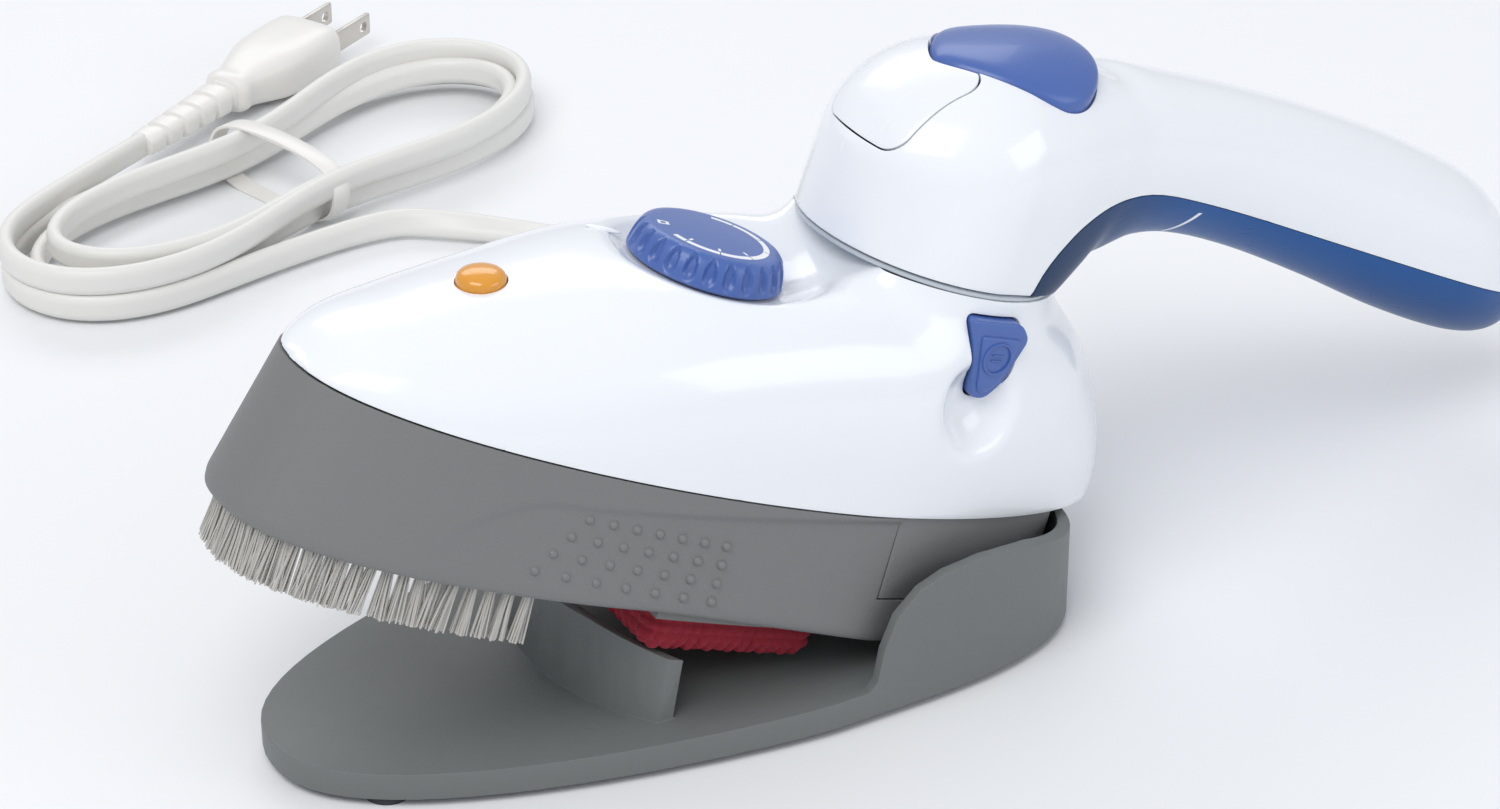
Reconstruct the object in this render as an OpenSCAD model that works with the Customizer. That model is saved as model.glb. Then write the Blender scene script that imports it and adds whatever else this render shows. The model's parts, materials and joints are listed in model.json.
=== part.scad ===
// Handheld garment steamer resting nose-up on its stand, with a swivelling
// tank handle, a removable brush frame and a flat mains cord.
// Part frame: +Z up from the floor, nose towards -X, handle towards +X, near side -Y.
// Head frame: origin where the swivel axis meets the sole plane, +Z square to the sole.

/* [Head] */
// Half width of the head at its seam
head_half = 38; // [35:0.5:39]
// Reach of the white shell ahead of its widest section
head_front = 117; // [110:1:118]
// Reach of the white shell behind its widest section
head_rear = 77; // [74:1:78]
// Height of the seam above the sole
seam_z = 24.5; // [23:0.5:26]
// Rise of the seam towards the nose
seam_rise = 6.5; // [4:0.5:8]
// Wall thickness of the moulded shells
wall = 2.2; // [1.8:0.1:2.6]

/* [Skirt] */
// Half width of the skirt along its lower edge
skirt_half = 40.5; // [39:0.5:41]
// Reach of the skirt ahead of its widest section
skirt_front = 125; // [121:1:126]
// Where the brush frame stops and the rear base starts
skirt_end = -12; // [-14:1:-10]
// Free length of the bristles
bristle_len = 11; // [8:1:11]
// Number of bristle tufts round the nose
bristle_count = 49; // [41:2:61]

/* [Swivel and handle] */
// Radius of the swivel seam
swivel_r = 28.4; // [27:0.2:29]
// Height of the swivel seam above the sole
swivel_z = 70.8; // [70:0.2:71.4]
// Length of the handle behind the swivel axis
handle_len = 166; // [160:1:170]

/* [Controls] */
// Radius of the temperature dial
dial_r = 16.4; // [15:0.2:17]
// Place of the dial's axis along the head
dial_x = -51.7; // [-53:0.1:-50]
// Place of the lamp along the head
lamp_x = -99; // [-101:0.5:-97]

/* [Stand] */
// Half width of the stand
stand_half = 45.4; // [44:0.2:47]
// Thickness of the stand's upright walls
stand_wall = 2.4; // [2:0.2:3]
// Thickness of the stand's floor plate
plate = 6; // [5:0.5:7]
// Tilt of the head on its stand
tilt = 21; // [20.5:0.1:21.5]

/* [Cord] */
// Width of the flat cord
cord_w = 7; // [6:0.2:7.4]
// Height of the tied hank
hank_h = 14; // [12:0.5:16]

/* [Hidden] */

eps = 0.01;
gap = 0.4;
foot_h = 1.8;
head_x = -23.7;
head_z = 14.84;
widest_x = -20;
section_steps = 28;
plan_steps = 72;
stand_mid = -45;
stand_front = 105.3;
stand_rear = 69.5;
collar_top = swivel_z - 1.9;
dial_floor = 58.6;
tank_wall = 1.8;
rod_top = 110.6;
lid_half = 13;
lid_low = 92;
trigger_x = 6;
trigger_front = 23;
trigger_rear = 15;
trigger_half = 17;
trigger_pin_x = 21.5;
trigger_pin_z = 106;
pad_low = -12;
pad_front = -60;
pad_rear = -18;
pad_half = 33;
foot_places = [[-133, 17], [-133, -17], [4, 32], [4, -32]];
screw_places = [[22, 22], [22, -22], [-118, 0]];
base_rise = 15.5;
base_half = 39.4;
base_reach = 73;
base_end = 35;
base_step = 6.6;
gland_x = 22;
gland_z = 38;
lock_at = [1, -27.5, 58];
lock_depth = 3.4;
hinge_x = -27.2;
hinge_z = 92.2;
hinge_half = 9;
sole_rear = 14;
sole_front = -120;
sole_half = 30;
lip_w = 9;
tuft_r = 1.5;
stud_r = 0.9;
tie_t = 1.2;
tie_w = 5;
cradle_y = 18;

// Crown line of the white shell: place along the head, height above the sole
crown = [[-137, 31], [-128, 39.4], [-115, 45.3], [-97.5, 52.6], [-75, 59.8], [-50, 63.7],
    [-26, 66.3], [0, 68.5], [25, 67], [38, 60], [48, 47.5], [54, 36], [57, 25]];

// Squareness of the white shell's sections along the head
squareness = [[-137, 2.1], [-97, 2.2], [-60, 3], [-20, 3.2], [20, 2.7], [57, 2.2]];

// Top line of the handle, from the front of the pod to the rear end
handle_top = [[-28.4, 90], [-24, 99], [-16, 107.5], [-4, 112.8], [12, 114.5], [40, 114],
    [70, 113], [100, 110.3], [125, 106.2], [142, 101.5], [154, 93.5], [162, 84], [166, 74]];

// Bottom line of the handle behind the swivel seam
handle_low = [[24, 71], [32, 73.5], [42, 78.5], [55, 80.5], [75, 79], [100, 74.5], [125, 69],
    [145, 66], [156, 66], [163, 68.5], [166, 72]];

// Half width of the handle behind the swivel axis
handle_side = [[0, 28.4], [12, 26.6], [24, 23], [36, 19.6], [50, 17.4], [70, 15.6], [100, 15],
    [140, 15], [154, 12.6], [162, 8.6], [166, 3]];

// Line where the white handle shell meets the blue tank, seen from the side
tank_line = [[9, 70], [10.5, 76], [14, 82], [19, 87], [27, 91.3], [38, 93.2], [52, 92.3],
    [100, 86], [150, 79.8], [170, 77.5]];

// Route of the cord's centreline from the strain relief to the hank
cord_route = [[10.4, 60.7, 42.4], [10.8, 67, 41.6], [11.4, 74, 39.3], [12.5, 81, 35], [14, 90, 27.5],
    [16.5, 100, 18.8], [19, 109, 11.2], [21.5, 116, 7], [23.4, 123, 4.6], [24.2, 131, 3.6],
    [23, 139, 3.6], [19.5, 148, 3.6], [14, 156, 3.6], [7.5, 163.5, 3.6], [0, 171, 3.6],
    [-7, 178, 3.6], [-13.5, 185, 3.6], [-19, 192, 3.6], [-24.5, 199, 4], [-30, 206.5, 4.6],
    [-33, 211, 5.2]];

// Route of the cord's end, from the hank to the plug's tail
tail_route = [[-116, 231, 9], [-110, 235.8, 8.6], [-101, 241.4, 8], [-90, 247.6, 7.5],
    [-78, 254.2, 7.2], [-69, 259.2, 7.2]];
hank_at = [-46, 227];
hank_turn = 17;
hank_half = 84;
hank_side = 30;
plug_at = [-38, 276.4, 7.2];
plug_turn = 28.8;

// Value at x of a smooth line through hand-set knots
function part_of(k, x, i = 0) = i >= len(k) - 2 || x < k[i + 1][0] ? i : part_of(k, x, i + 1);
function rate(k, i) =
    let (a = max(i - 1, 0), b = min(i + 1, len(k) - 1)) (k[b][1] - k[a][1]) / (k[b][0] - k[a][0]);
function line_at(k, x) =
    let (i = part_of(k, x), h = k[i + 1][0] - k[i][0])
    let (t = min(max((x - k[i][0]) / h, 0), 1), u = 1 - t)
    u * u * (1 + 2 * t) * k[i][1] + t * t * (3 - 2 * t) * k[i + 1][1]
        + h * t * u * (u * rate(k, i) - t * rate(k, i + 1));

// Signed power, for superellipses
function bow(v, n) = sign(v) * pow(abs(v), 2 / n);

// Seam height along the head
function seam_at(x) = seam_z + seam_rise * pow(max(0, widest_x - x) / head_front, 1.5);

// Plan outline of the head: egg shape, pointed at the nose, blunt at the rear
function plan_point(a, side, front, rear) =
    cos(a) < 0
        ? [widest_x + front * bow(cos(a), 2.3), side * bow(sin(a), 2.3)]
        : [widest_x + rear * bow(cos(a), 1.8), side * bow(sin(a), 2.6)];
function plan(side, front, rear) =
    [for (i = [0 : plan_steps - 1]) plan_point(360 * i / plan_steps, side, front, rear)];
function side_at(x, side, front, rear) =
    x < widest_x
        ? side * pow(max(0, 1 - pow((widest_x - x) / front, 2.3)), 1 / 2.3)
        : side * pow(max(0, 1 - pow((x - widest_x) / rear, 1.8)), 1 / 2.6);

// Solid through a list of rings that all have the same number of points
module skin(rings) {
    n = len(rings[0]);
    last = len(rings) - 1;
    sides = [for (i = [0 : last - 1], j = [0 : n - 1], k = [0, 1])
        k == 0
            ? [i * n + j, (i + 1) * n + j, i * n + (j + 1) % n]
            : [i * n + (j + 1) % n, (i + 1) * n + j, (i + 1) * n + (j + 1) % n]];
    first_cap = [for (j = [0 : n - 1]) j];
    last_cap = [for (j = [n - 1 : -1 : 0]) last * n + j];
    polyhedron(concat([for (r = rings) each r]), concat(sides, [first_cap, last_cap]));
}

// Solid between two plan outlines whose heights follow the head's length
module band(low, high) {
    n = len(low);
    strip = [for (j = [0 : n / 2 - 1], k = [0, 1])
        let (a = j, b = j + 1, c = (n - j - 1) % n, d = (n - j) % n)
        k == 0 ? [a, b, c] : [a, c, d]];
    real = [for (f = strip) if (f[0] != f[1] && f[1] != f[2] && f[0] != f[2]) f];
    sides = [for (j = [0 : n - 1], k = [0, 1])
        k == 0 ? [j, n + j, (j + 1) % n] : [(j + 1) % n, n + j, n + (j + 1) % n]];
    top = [for (f = real) [n + f[0], n + f[2], n + f[1]]];
    polyhedron(concat(low, high), concat(sides, real, top));
}

// Moves a piece drawn in the head frame onto the stand
module on_stand() {
    translate([head_x, 0, head_z]) rotate([0, tilt, 0]) children();
}

// Upper shell's outer or inner form: inset shrinks it, drop lowers its floor
function shell_ring(x, inset, drop) =
    let (w = max(side_at(x, head_half - inset, head_front - inset, head_rear - inset), 1))
    let (low = seam_at(x), high = max(line_at(crown, x) - inset, low + 1))
    let (n = line_at(squareness, x))
    concat([for (j = [0 : section_steps]) let (a = 180 * j / section_steps)
        [x, w * bow(cos(a), n), low + (high - low) * bow(sin(a), n)]],
        [[x, -w, low - drop], [x, w, low - drop]]);
function shell_places(inset) = concat(
    [for (i = [0 : 15]) widest_x - (head_front - inset) * cos(6 * i) * 0.9999],
    [for (i = [1 : 14]) widest_x + (head_rear - inset) * sin(6.42 * i) * 0.9999]);
module shell_form(inset, drop) {
    skin([for (x = shell_places(inset)) shell_ring(x, inset, drop)]);
}

// Dished seat for the dial
module dial_dish(grow) {
    translate([dial_x, 0, dial_floor - grow]) {
        cylinder(r = 18 + grow, h = 40, $fn = 64);
        translate([0, 0, 1.5]) cylinder(r1 = 18 + grow, r2 = 44 + grow, h = 18, $fn = 64);
    }
}

// Thumb scoop below the lock button
module lock_scoop(grow) {
    translate([1, -head_half - 2, 50]) sphere(r = 11.5 + grow, $fn = 40);
}

module upper_shell() color("#f4f7fb") on_stand() {
    difference() {
        union() {
            shell_form(0, 0.05);
            cylinder(r1 = 31, r2 = swivel_r, h = collar_top, $fn = 96);
        }
        difference() {
            union() {
                shell_form(wall, 3);
                translate([0, 0, seam_z]) cylinder(r = 24, h = collar_top - seam_z - 6, $fn = 64);
            }
            dial_dish(wall);
            lock_scoop(wall);
        }
        translate([0, 0, -1]) cylinder(r = 36, h = seam_z + 1, $fn = 64);
        dial_dish(0);
        lock_scoop(0);
        translate([dial_x, 0, 40]) cylinder(r = 3.4, h = 30, $fn = 40);
        cylinder(r = 21.4, h = swivel_z + 1, $fn = 64);
        translate([1, 0, 58]) lock_prism(gap, 60);
        lamp_axis() cylinder(r = 5.3, h = 20, $fn = 40);
        translate([gland_x, 30, gland_z]) rotate([-90, 0, 0]) cylinder(r = 5.2, h = 20, $fn = 40);
    }
}

// Axis of the lamp, square to the shell's crown there
module lamp_axis() {
    translate([lamp_x, 0, line_at(crown, lamp_x) - 8]) rotate([0, -19, 0]) children();
}

module lamp_lens() color("#e8962a") on_stand() lamp_axis() {
    rotate_extrude($fn = 48) polygon([[0, 3], [6.4, 3], [6.4, 4.6], [4.9, 4.6], [4.9, 8.1],
        [4.2, 9], [2.4, 9.6], [0, 9.8]]);
}

module lamp_bulb() color("#f2c99a") on_stand() lamp_axis() {
    translate([0, 0, -7]) cylinder(r = 2.2, h = 9.4, $fn = 24);
}

// Shield-shaped outline of the lock button, seen from the side
module lock_outline(grow) {
    offset(r = 2 + grow, $fn = 20) polygon([[-5, 6], [6, 5.6], [4.4, -4.4], [1, -7.2], [-2, -6]]);
}
module lock_prism(grow, h) {
    translate([0, -h, 0]) rotate([-90, 0, 0]) mirror([0, 1, 0])
        linear_extrude(height = h) lock_outline(grow);
}

module lock_button() color("#4467b4") on_stand() {
    translate([lock_at[0], lock_at[1] + lock_depth, lock_at[2]]) lock_prism(0, lock_depth);
}

// Coil spring drawn as a stack of rings joined by a straight wire
module coil(r, wire, h, turns) {
    pitch = h / turns;
    for (i = [0 : turns - 1]) translate([0, 0, pitch * (i + 0.5)])
        rotate_extrude($fn = 32) translate([r, 0]) circle(r = wire, $fn = 16);
    translate([r, 0, pitch / 2]) cylinder(r = wire * 0.8, h = h - pitch, $fn = 16);
}

module lock_spring() color("silver") on_stand() {
    translate([lock_at[0], lock_at[1] + lock_depth + 0.05, lock_at[2]]) rotate([-90, 0, 0])
        coil(2.4, 0.3, 2.4, 2);
}

// Rear base: carries the steam unit, closes the shell below the seam and stands in the cup
function base_low(x) = max(1.5, 1.5 + (x - 16) * 0.36);
module base_frame() color("#7b7e80") on_stand() {
    low = [for (p = plan(base_half, 112, base_reach)) [p[0], p[1], base_low(p[0])]];
    high = [for (p = plan(head_half - 0.9, 114, base_reach + 2)) [p[0], p[1], seam_at(p[0]) - gap]];
    hollow_low = [for (p = plan(30.6, 104, 53)) [p[0], p[1], base_low(p[0]) + 2.5]];
    hollow_high = [for (p = plan(32, 104, 53)) [p[0], p[1], seam_at(p[0]) + 3]];
    difference() {
        band(low, high);
        translate([base_end, -60, -10]) cube([60, 120, 60]);
        difference() {
            translate([-200, -60, -10]) cube([203, 120, 10 + base_step]);
            linear_extrude(height = 60, center = true) polygon(plan(33, 112, 56));
        }
        difference() {
            band(hollow_low, hollow_high);
            for (p = screw_places) translate([p[0], p[1], 0]) cylinder(r = 4, h = 60, $fn = 32);
        }
        translate([-200, -60, -10]) cube([200 + skirt_end + gap, 120, base_rise + 10]);
        difference() {
            translate([-200, -60, 0]) cube([200 + skirt_end + gap, 120, 60]);
            linear_extrude(height = 60) polygon(plan(34.6, 110, 60));
        }
        translate([-60, -60, -1]) linear_extrude(height = 22) translate([60, 60]) sole_outline(-0.8);
        for (p = screw_places) translate([p[0], p[1], -1]) cylinder(r = 1.6, h = 60, $fn = 24);
        for (p = screw_places) translate([p[0], p[1], -1])
            cylinder(r = 3.2, h = screw_seat(p) + 3, $fn = 24);
    }
}

// Outline of the steam plate, a blunt arrow with round corners
module sole_outline(shrink) {
    difference() {
        polygon([for (p = plan(sole_half - shrink, 100 - shrink, 60)) p]);
        translate([sole_rear - shrink, -60]) square([80, 120]);
    }
}

module sole_plate() color("#c9ccd0") on_stand() {
    difference() {
        translate([0, 0, 0.4]) linear_extrude(height = 3.2) sole_outline(0);
        for (x = [-108 : 7 : -80], s = [-1, 0, 1])
            translate([x, s * (x + 122) * 0.42, -1]) cylinder(r = 1.3, h = 6, $fn = 24);
    }
}

module steam_chamber() color("#b3b7ba") on_stand() {
    difference() {
        translate([0, 0, 4]) linear_extrude(height = 15) sole_outline(7);
        translate([0, 0, 5]) linear_extrude(height = 11) sole_outline(10);
        translate([0, 0, 12]) cylinder(r = 2, h = 10, $fn = 24);
    }
}

module heater_element() color("#8d8f91") on_stand() {
    translate([-46, 0, 10]) {
        for (s = [-1, 1]) translate([-20, s * 9, 0]) rotate([0, 90, 0]) cylinder(r = 2.6, h = 50, $fn = 32);
        translate([-20, 0, 0]) rotate([0, 0, 90])
            rotate_extrude(angle = 180, $fn = 64) translate([9, 0]) circle(r = 2.6, $fn = 32);
    }
}

module thermal_fuse() color("#d8d4c4") on_stand() {
    translate([-20, 9, 22]) rotate([0, 90, 0]) cylinder(r = 3, h = 18, $fn = 32);
}

module thermostat() color("#c8b27a") on_stand() {
    translate([dial_x, 0, 19.4]) {
        cylinder(r = 9, h = 9, $fn = 48);
        translate([-14, -6, 0]) cube([28, 12, 2.2]);
        translate([0, 0, 9]) cylinder(r = 5, h = 8, $fn = 40);
    }
}

module terminal_block() color("#e9e6db") on_stand() {
    translate([18, -10, 28]) difference() {
        cube([16, 20, 12]);
        for (y = [4, 10, 16]) translate([8, y, 4]) cylinder(r = 1.6, h = 10, $fn = 24);
    }
}

// Height of a base screw's seat above the sole
function screw_seat(p) = p[0] > 0 ? 6 : 17.5;

module base_screws() color("#9a9da0") on_stand() {
    for (p = screw_places) translate([p[0], p[1], screw_seat(p)]) {
        cylinder(r = 1.6, h = 32 - screw_seat(p), $fn = 24);
        translate([0, 0, -0.2]) cylinder(r = 2.8, h = 2, $fn = 24);
    }
}

// Swivel bearing: a flange that shows as the seam ring, with a sleeve inside the collar
module swivel_ring() color("#b9bfc6") on_stand() {
    difference() {
        union() {
            translate([0, 0, collar_top + 0.1]) cylinder(r = swivel_r - 0.5, h = 1.5, $fn = 96);
            translate([0, 0, 58]) cylinder(r = 21.3, h = collar_top - 57, $fn = 64);
        }
        translate([0, 0, 50]) cylinder(r = 16.06, h = 30, $fn = 64);
    }
}

module swivel_spigot() color("#d5d8db") on_stand() {
    difference() {
        union() {
            translate([0, 0, 54]) cylinder(r = 16, h = 23, $fn = 64);
            translate([0, 0, swivel_z + 3.4]) cylinder(r = 21.6, h = 2.4, $fn = 64);
        }
        translate([0, 0, 50]) cylinder(r = 12, h = 40, $fn = 64);
    }
}

module spigot_nut() color("#8f9498") on_stand() {
    translate([0, 0, 54.2]) difference() {
        cylinder(r = 20, h = 3.4, $fn = 64);
        translate([0, 0, -1]) cylinder(r = 16, h = 6, $fn = 64);
        for (i = [0 : 5]) rotate([0, 0, 60 * i]) translate([20, 0, -1]) cylinder(r = 1.6, h = 6, $fn = 24);
    }
}

module spigot_screws() color("#8a8d90") on_stand() {
    for (i = [0 : 3]) rotate([0, 0, 45 + 90 * i]) translate([18.9, 0, swivel_z + 0.6]) {
        cylinder(r = 1.1, h = 6, $fn = 24);
        translate([0, 0, 5.2]) cylinder(r = 1.9, h = 1.2, $fn = 24);
    }
}

module water_tube() color("#e4e2da") on_stand() {
    difference() {
        translate([0, 0, 19]) cylinder(r = 3.2, h = 61, $fn = 32);
        translate([0, 0, 18]) cylinder(r = 2, h = 63, $fn = 32);
    }
}

// Dial: a domed knob with finger dimples round its side
module dial() color("#3f5fa9") on_stand() translate([dial_x, 0, dial_floor + 0.6]) {
    difference() {
        rotate_extrude($fn = 96) polygon([[0, 0], [dial_r, 0], [dial_r, 1], [dial_r - 1.6, 5.4],
            [dial_r - 2.4, 6.4], [9, 7.1], [0, 7.4]]);
        for (i = [0 : 23]) rotate([0, 0, 15 * i]) translate([dial_r + 0.6, 0, 3.4])
            sphere(r = 1.7, $fn = 24);
        translate([0, 0, -1]) cylinder(r = 2.5, h = 5, $fn = 32);
        translate([0, 0, -eps]) difference() {
            cylinder(r = 13, h = 3.4, $fn = 64);
            translate([0, 0, -1]) cylinder(r = 4.6, h = 6, $fn = 40);
        }
    }
}

module dial_shaft() color("#d9dadb") on_stand() translate([dial_x, 0, 36.6]) {
    cylinder(r = 2.46, h = dial_floor + 4.4 - 36.6, $fn = 32);
    translate([0, 0, 4]) cylinder(r = 4, h = 1.6, $fn = 32);
}

// Handle form: pod and grip in one smooth body; inset shrinks it
function handle_ring(x, inset) =
    let (w0 = x < 0 ? sqrt(max(pow(swivel_r - inset, 2) - x * x, 0.01)) : line_at(handle_side, x) - inset)
    let (w = max(w0, 0.1), high = line_at(handle_top, x) - inset)
    let (low = x < 24 ? swivel_z + 0.2 + inset : line_at(handle_low, x) + inset)
    let (pod = min(max((30 - x) / 22, 0), 1), mid = (1 - pod) * (high + low) / 2 + pod * min(88, high - 2))
    let (n_low = 2.3 + 5 * pod, n_top = 2.3)
    [for (j = [0 : 39]) let (a = 9 * j)
        sin(a) >= 0
            ? [x, w * bow(cos(a), n_top), mid + max(high - mid, 0.05) * bow(sin(a), n_top)]
            : [x, w * bow(cos(a), n_low), mid + max(mid - low, 0.05) * bow(sin(a), n_low)]];
function handle_places(inset) = concat(
    [for (i = [0 : 9]) -(swivel_r - inset) * cos(9 * i) * 0.999],
    [for (i = [0 : 9]) 3.2 * i],
    [for (i = [0 : 9]) 33 + 11 * i],
    [for (i = [1 : 6]) 132 + (handle_len - 132 - inset) * sin(15 * i)]);
module handle_form(inset) {
    skin([for (x = handle_places(inset)) handle_ring(x, inset)]);
}

// Region below the white and blue parting line; rise lifts the line
module tank_region(rise) {
    top = [for (p = tank_line) [p[0] - rise, p[1] + rise]];
    translate([0, 60, 0]) rotate([90, 0, 0]) linear_extrude(height = 120)
        polygon(concat(top, [[175, 40], [9 - rise, 40]]));
}

// Leaf-shaped plan of the steam trigger
module trigger_plan(grow, h) {
    linear_extrude(height = h) polygon([for (a = [0 : 9 : 351])
        [trigger_x + (cos(a) < 0 ? trigger_front + grow : trigger_rear + grow)
            * bow(cos(a), cos(a) < 0 ? 1.6 : 2.2), (trigger_half + grow) * bow(sin(a), cos(a) < 0 ? 1.5 : 2.2)]]);
}

// Space taken by the filler lid at the front of the pod
module lid_space(grow) {
    difference() {
        translate([-40, -lid_half - grow, lid_low - grow]) cube([34, 2 * (lid_half + grow), 40]);
        translate([0, 0, 60]) trigger_plan(0.8 - grow, 80);
    }
}

// Barrel that the filler lid turns on, inside the pod's wall
module hinge_barrel(r, half) {
    translate([hinge_x, 0, hinge_z]) rotate([90, 0, 0]) cylinder(r = r, h = 2 * half, center = true, $fn = 40);
}

module handle_shell() color("#f6f8fb") on_stand() {
    difference() {
        handle_form(0);
        difference() {
            handle_form(wall);
            for (s = [-1, 1]) translate([trigger_pin_x - 3, s * 13 - 2, 98]) cube([6, 4, 20]);
            translate([-30, -30, swivel_z]) cube([54, 60, 3.2]);
        }
        tank_region(gap);
        translate([0, 0, 91]) trigger_plan(0.5, 40);
        lid_space(gap);
        hinge_barrel(1.6, hinge_half + gap);
        translate([0, 0, 60]) cylinder(r = 16.3, h = 20, $fn = 64);
        trigger_axis() cylinder(r = 1.3, h = 30, center = true, $fn = 24);
    }
}

module water_tank() color("#1f4f93") on_stand() {
    difference() {
        intersection() {
            handle_form(0);
            tank_region(0);
        }
        intersection() {
            handle_form(tank_wall);
            tank_region(-tank_wall);
        }
        translate([0, 0, 60]) cylinder(r = 22, h = 60, $fn = 64);
    }
}

// Gasket that closes the tank under the parting line
module tank_seal() color("#4b4f55") on_stand() {
    intersection() {
        handle_form(wall + 0.2);
        difference() {
            tank_region(gap + 2.2);
            tank_region(gap + 0.2);
        }
        translate([25, -40, 60]) cube([200, 80, 60]);
    }
}

// Axis of the steam trigger, across the handle
module trigger_axis() {
    translate([trigger_pin_x, 0, trigger_pin_z]) rotate([90, 0, 0]) children();
}

module steam_trigger() color("#3a56a5") on_stand() {
    difference() {
        union() {
            intersection() {
                difference() {
                    handle_form(-0.9);
                    handle_form(1.6);
                }
                translate([0, 0, 90]) trigger_plan(0, 40);
            }
            intersection() {
                handle_form(0.6);
                translate([0, 0, 90]) trigger_plan(-0.4, 40);
                translate([12, -7, trigger_pin_z - 2]) cube([12, 14, 12]);
            }
            trigger_axis() cylinder(r = 2.6, h = 14, center = true, $fn = 32);
        }
        trigger_axis() cylinder(r = 1.35, h = 40, center = true, $fn = 32);
    }
}

module trigger_pin() color("silver") on_stand() {
    trigger_axis() cylinder(r = 1.2, h = 29, center = true, $fn = 32);
}

module trigger_spring() color("silver") on_stand() {
    translate([0, 0, 81]) coil(4.6, 0.45, 25, 6);
}

module valve_rod() color("#d8d8d2") on_stand() {
    translate([0, 0, 70]) cylinder(r = 1.5, h = rod_top - 70, $fn = 24);
    translate([0, 0, rod_top - 1.4]) cylinder(r = 3, h = 1.4, $fn = 32);
}

module filler_lid() color("#eef1f4") on_stand() {
    intersection() {
        difference() {
            handle_form(0);
            handle_form(wall);
        }
        lid_space(0);
    }
    hinge_barrel(1.1, hinge_half);
}

module filler_plug() color("#3c4046") on_stand() {
    translate([-22.6, 0, 98.6]) rotate([0, 127, 0]) cylinder(r = 4.2, h = 3.2, $fn = 40);
}

// Lower edge of the skirt, dipping towards the grips
function skirt_low(x) = -3.4 * pow(min(max((x + 68) / 58, 0), 1), 1.4);

// Brush frame: flared skirt with a bristle lip, open behind its side grips
module brush_frame() color("#7e8183") on_stand() {
    low = [for (p = plan(skirt_half, skirt_front, 90)) [p[0], p[1], skirt_low(p[0])]];
    high = [for (p = plan(head_half, head_front + 0.5, 80)) [p[0], p[1], seam_at(p[0]) - gap]];
    hollow_low = [for (p = plan(skirt_half - wall, skirt_front - wall, 90))
        [p[0], p[1], skirt_low(p[0]) - 1]];
    hollow_high = [for (p = plan(head_half - wall, head_front - wall, 80)) [p[0], p[1], seam_at(p[0]) + 1]];
    difference() {
        band(low, high);
        difference() {
            band(hollow_low, hollow_high);
            linear_extrude(height = 2.4) difference() {
                polygon(plan(skirt_half, skirt_front, 90));
                polygon(plan(skirt_half - lip_w, skirt_front - lip_w, 90));
                translate([-66, -60]) square(120);
            }
        }
        translate([skirt_end, -60, base_step - gap]) cube([120, 120, 60]);
        translate([2.6, -60, -10]) cube([120, 120, 60]);
    }
}

// Rows of grip studs on both side grips
module grip_studs() color("#808385") on_stand() {
    for (s = [-1, 1], row = [0 : 3], i = [0 : 6]) {
        x = -52 - 5.2 * (6 - i) * (1 + 0.09 * row);
        z = 16.4 - 3.9 * row - 0.35 * (i - 3);
        t = z / seam_at(x);
        y = side_at(x, skirt_half, skirt_front, 90) * (1 - t)
            + side_at(x, head_half, head_front + 0.5, 80) * t;
        translate([x, s * (y - 0.55), z]) sphere(r = stud_r + 0.2, $fn = 16);
    }
}

// Bristle tufts along the lip, following the nose
module bristle_tufts() color("#e3e5e8") on_stand() {
    for (i = [0 : bristle_count - 1]) {
        a = 122 + 116 * i / (bristle_count - 1);
        p = plan_point(a, skirt_half - lip_w / 2, skirt_front - lip_w / 2, 90);
        translate([p[0], p[1], -bristle_len]) cylinder(r = tuft_r, h = bristle_len, $fn = 14);
    }
}

// Rectangle with round corners
module round_rect(w, h, r) {
    square([w - 2 * r, h], center = true);
    square([w, h - 2 * r], center = true);
    for (sx = [-1, 1], sy = [-1, 1]) translate([sx * (w / 2 - r), sy * (h / 2 - r)]) circle(r = r, $fn = 32);
}

module pad_holder() color("#6f7274") on_stand() {
    translate([0, 0, -1.8]) linear_extrude(height = 1.7) intersection() {
        polygon(plan(skirt_half - wall - 0.5, skirt_front, 90));
        translate([pad_front - 2, -60]) square([pad_rear - pad_front + 4, 120]);
    }
}

module lint_pad() color("#a5162a") on_stand() {
    mid = (pad_front + pad_rear) / 2;
    intersection() {
        translate([mid, 0, pad_low]) linear_extrude(height = -1.9 - pad_low)
            round_rect(pad_rear - pad_front, 2 * pad_half, 8);
        translate([pad_front, 0, -1.9]) rotate([90, 0, 90]) linear_extrude(height = pad_rear - pad_front)
            round_rect(2 * pad_half, -2 * (pad_low + 1.9), 5);
    }
}

// Plan outline of the stand: round nose, square-cornered rear
function stand_point(a, inset) =
    cos(a) < 0
        ? [stand_mid + (stand_front - inset) * bow(cos(a), 1.4), (stand_half - inset) * bow(sin(a), 2.3)]
        : [stand_mid + (stand_rear - inset) * bow(cos(a), 3.4), (stand_half - inset) * bow(sin(a), 4)];
module stand_plan(inset) {
    polygon([for (i = [0 : 95]) stand_point(3.75 * i, inset)]);
}

// Side view of the cup's rim
module cup_profile() {
    polygon([[-38, 4], [-38, 7.8], [-36, 10], [-34.6, 17], [-31.5, 24], [-26, 28.8], [-20, 30.8],
        [-11, 31.2], [-4, 30.2], [2, 29], [30, 18.6], [30, 4]]);
}

// Everything below a plane parallel to the sole
module below_sole(z) {
    on_stand() translate([-200, -80, z - 200]) cube([400, 160, 200]);
}

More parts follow.
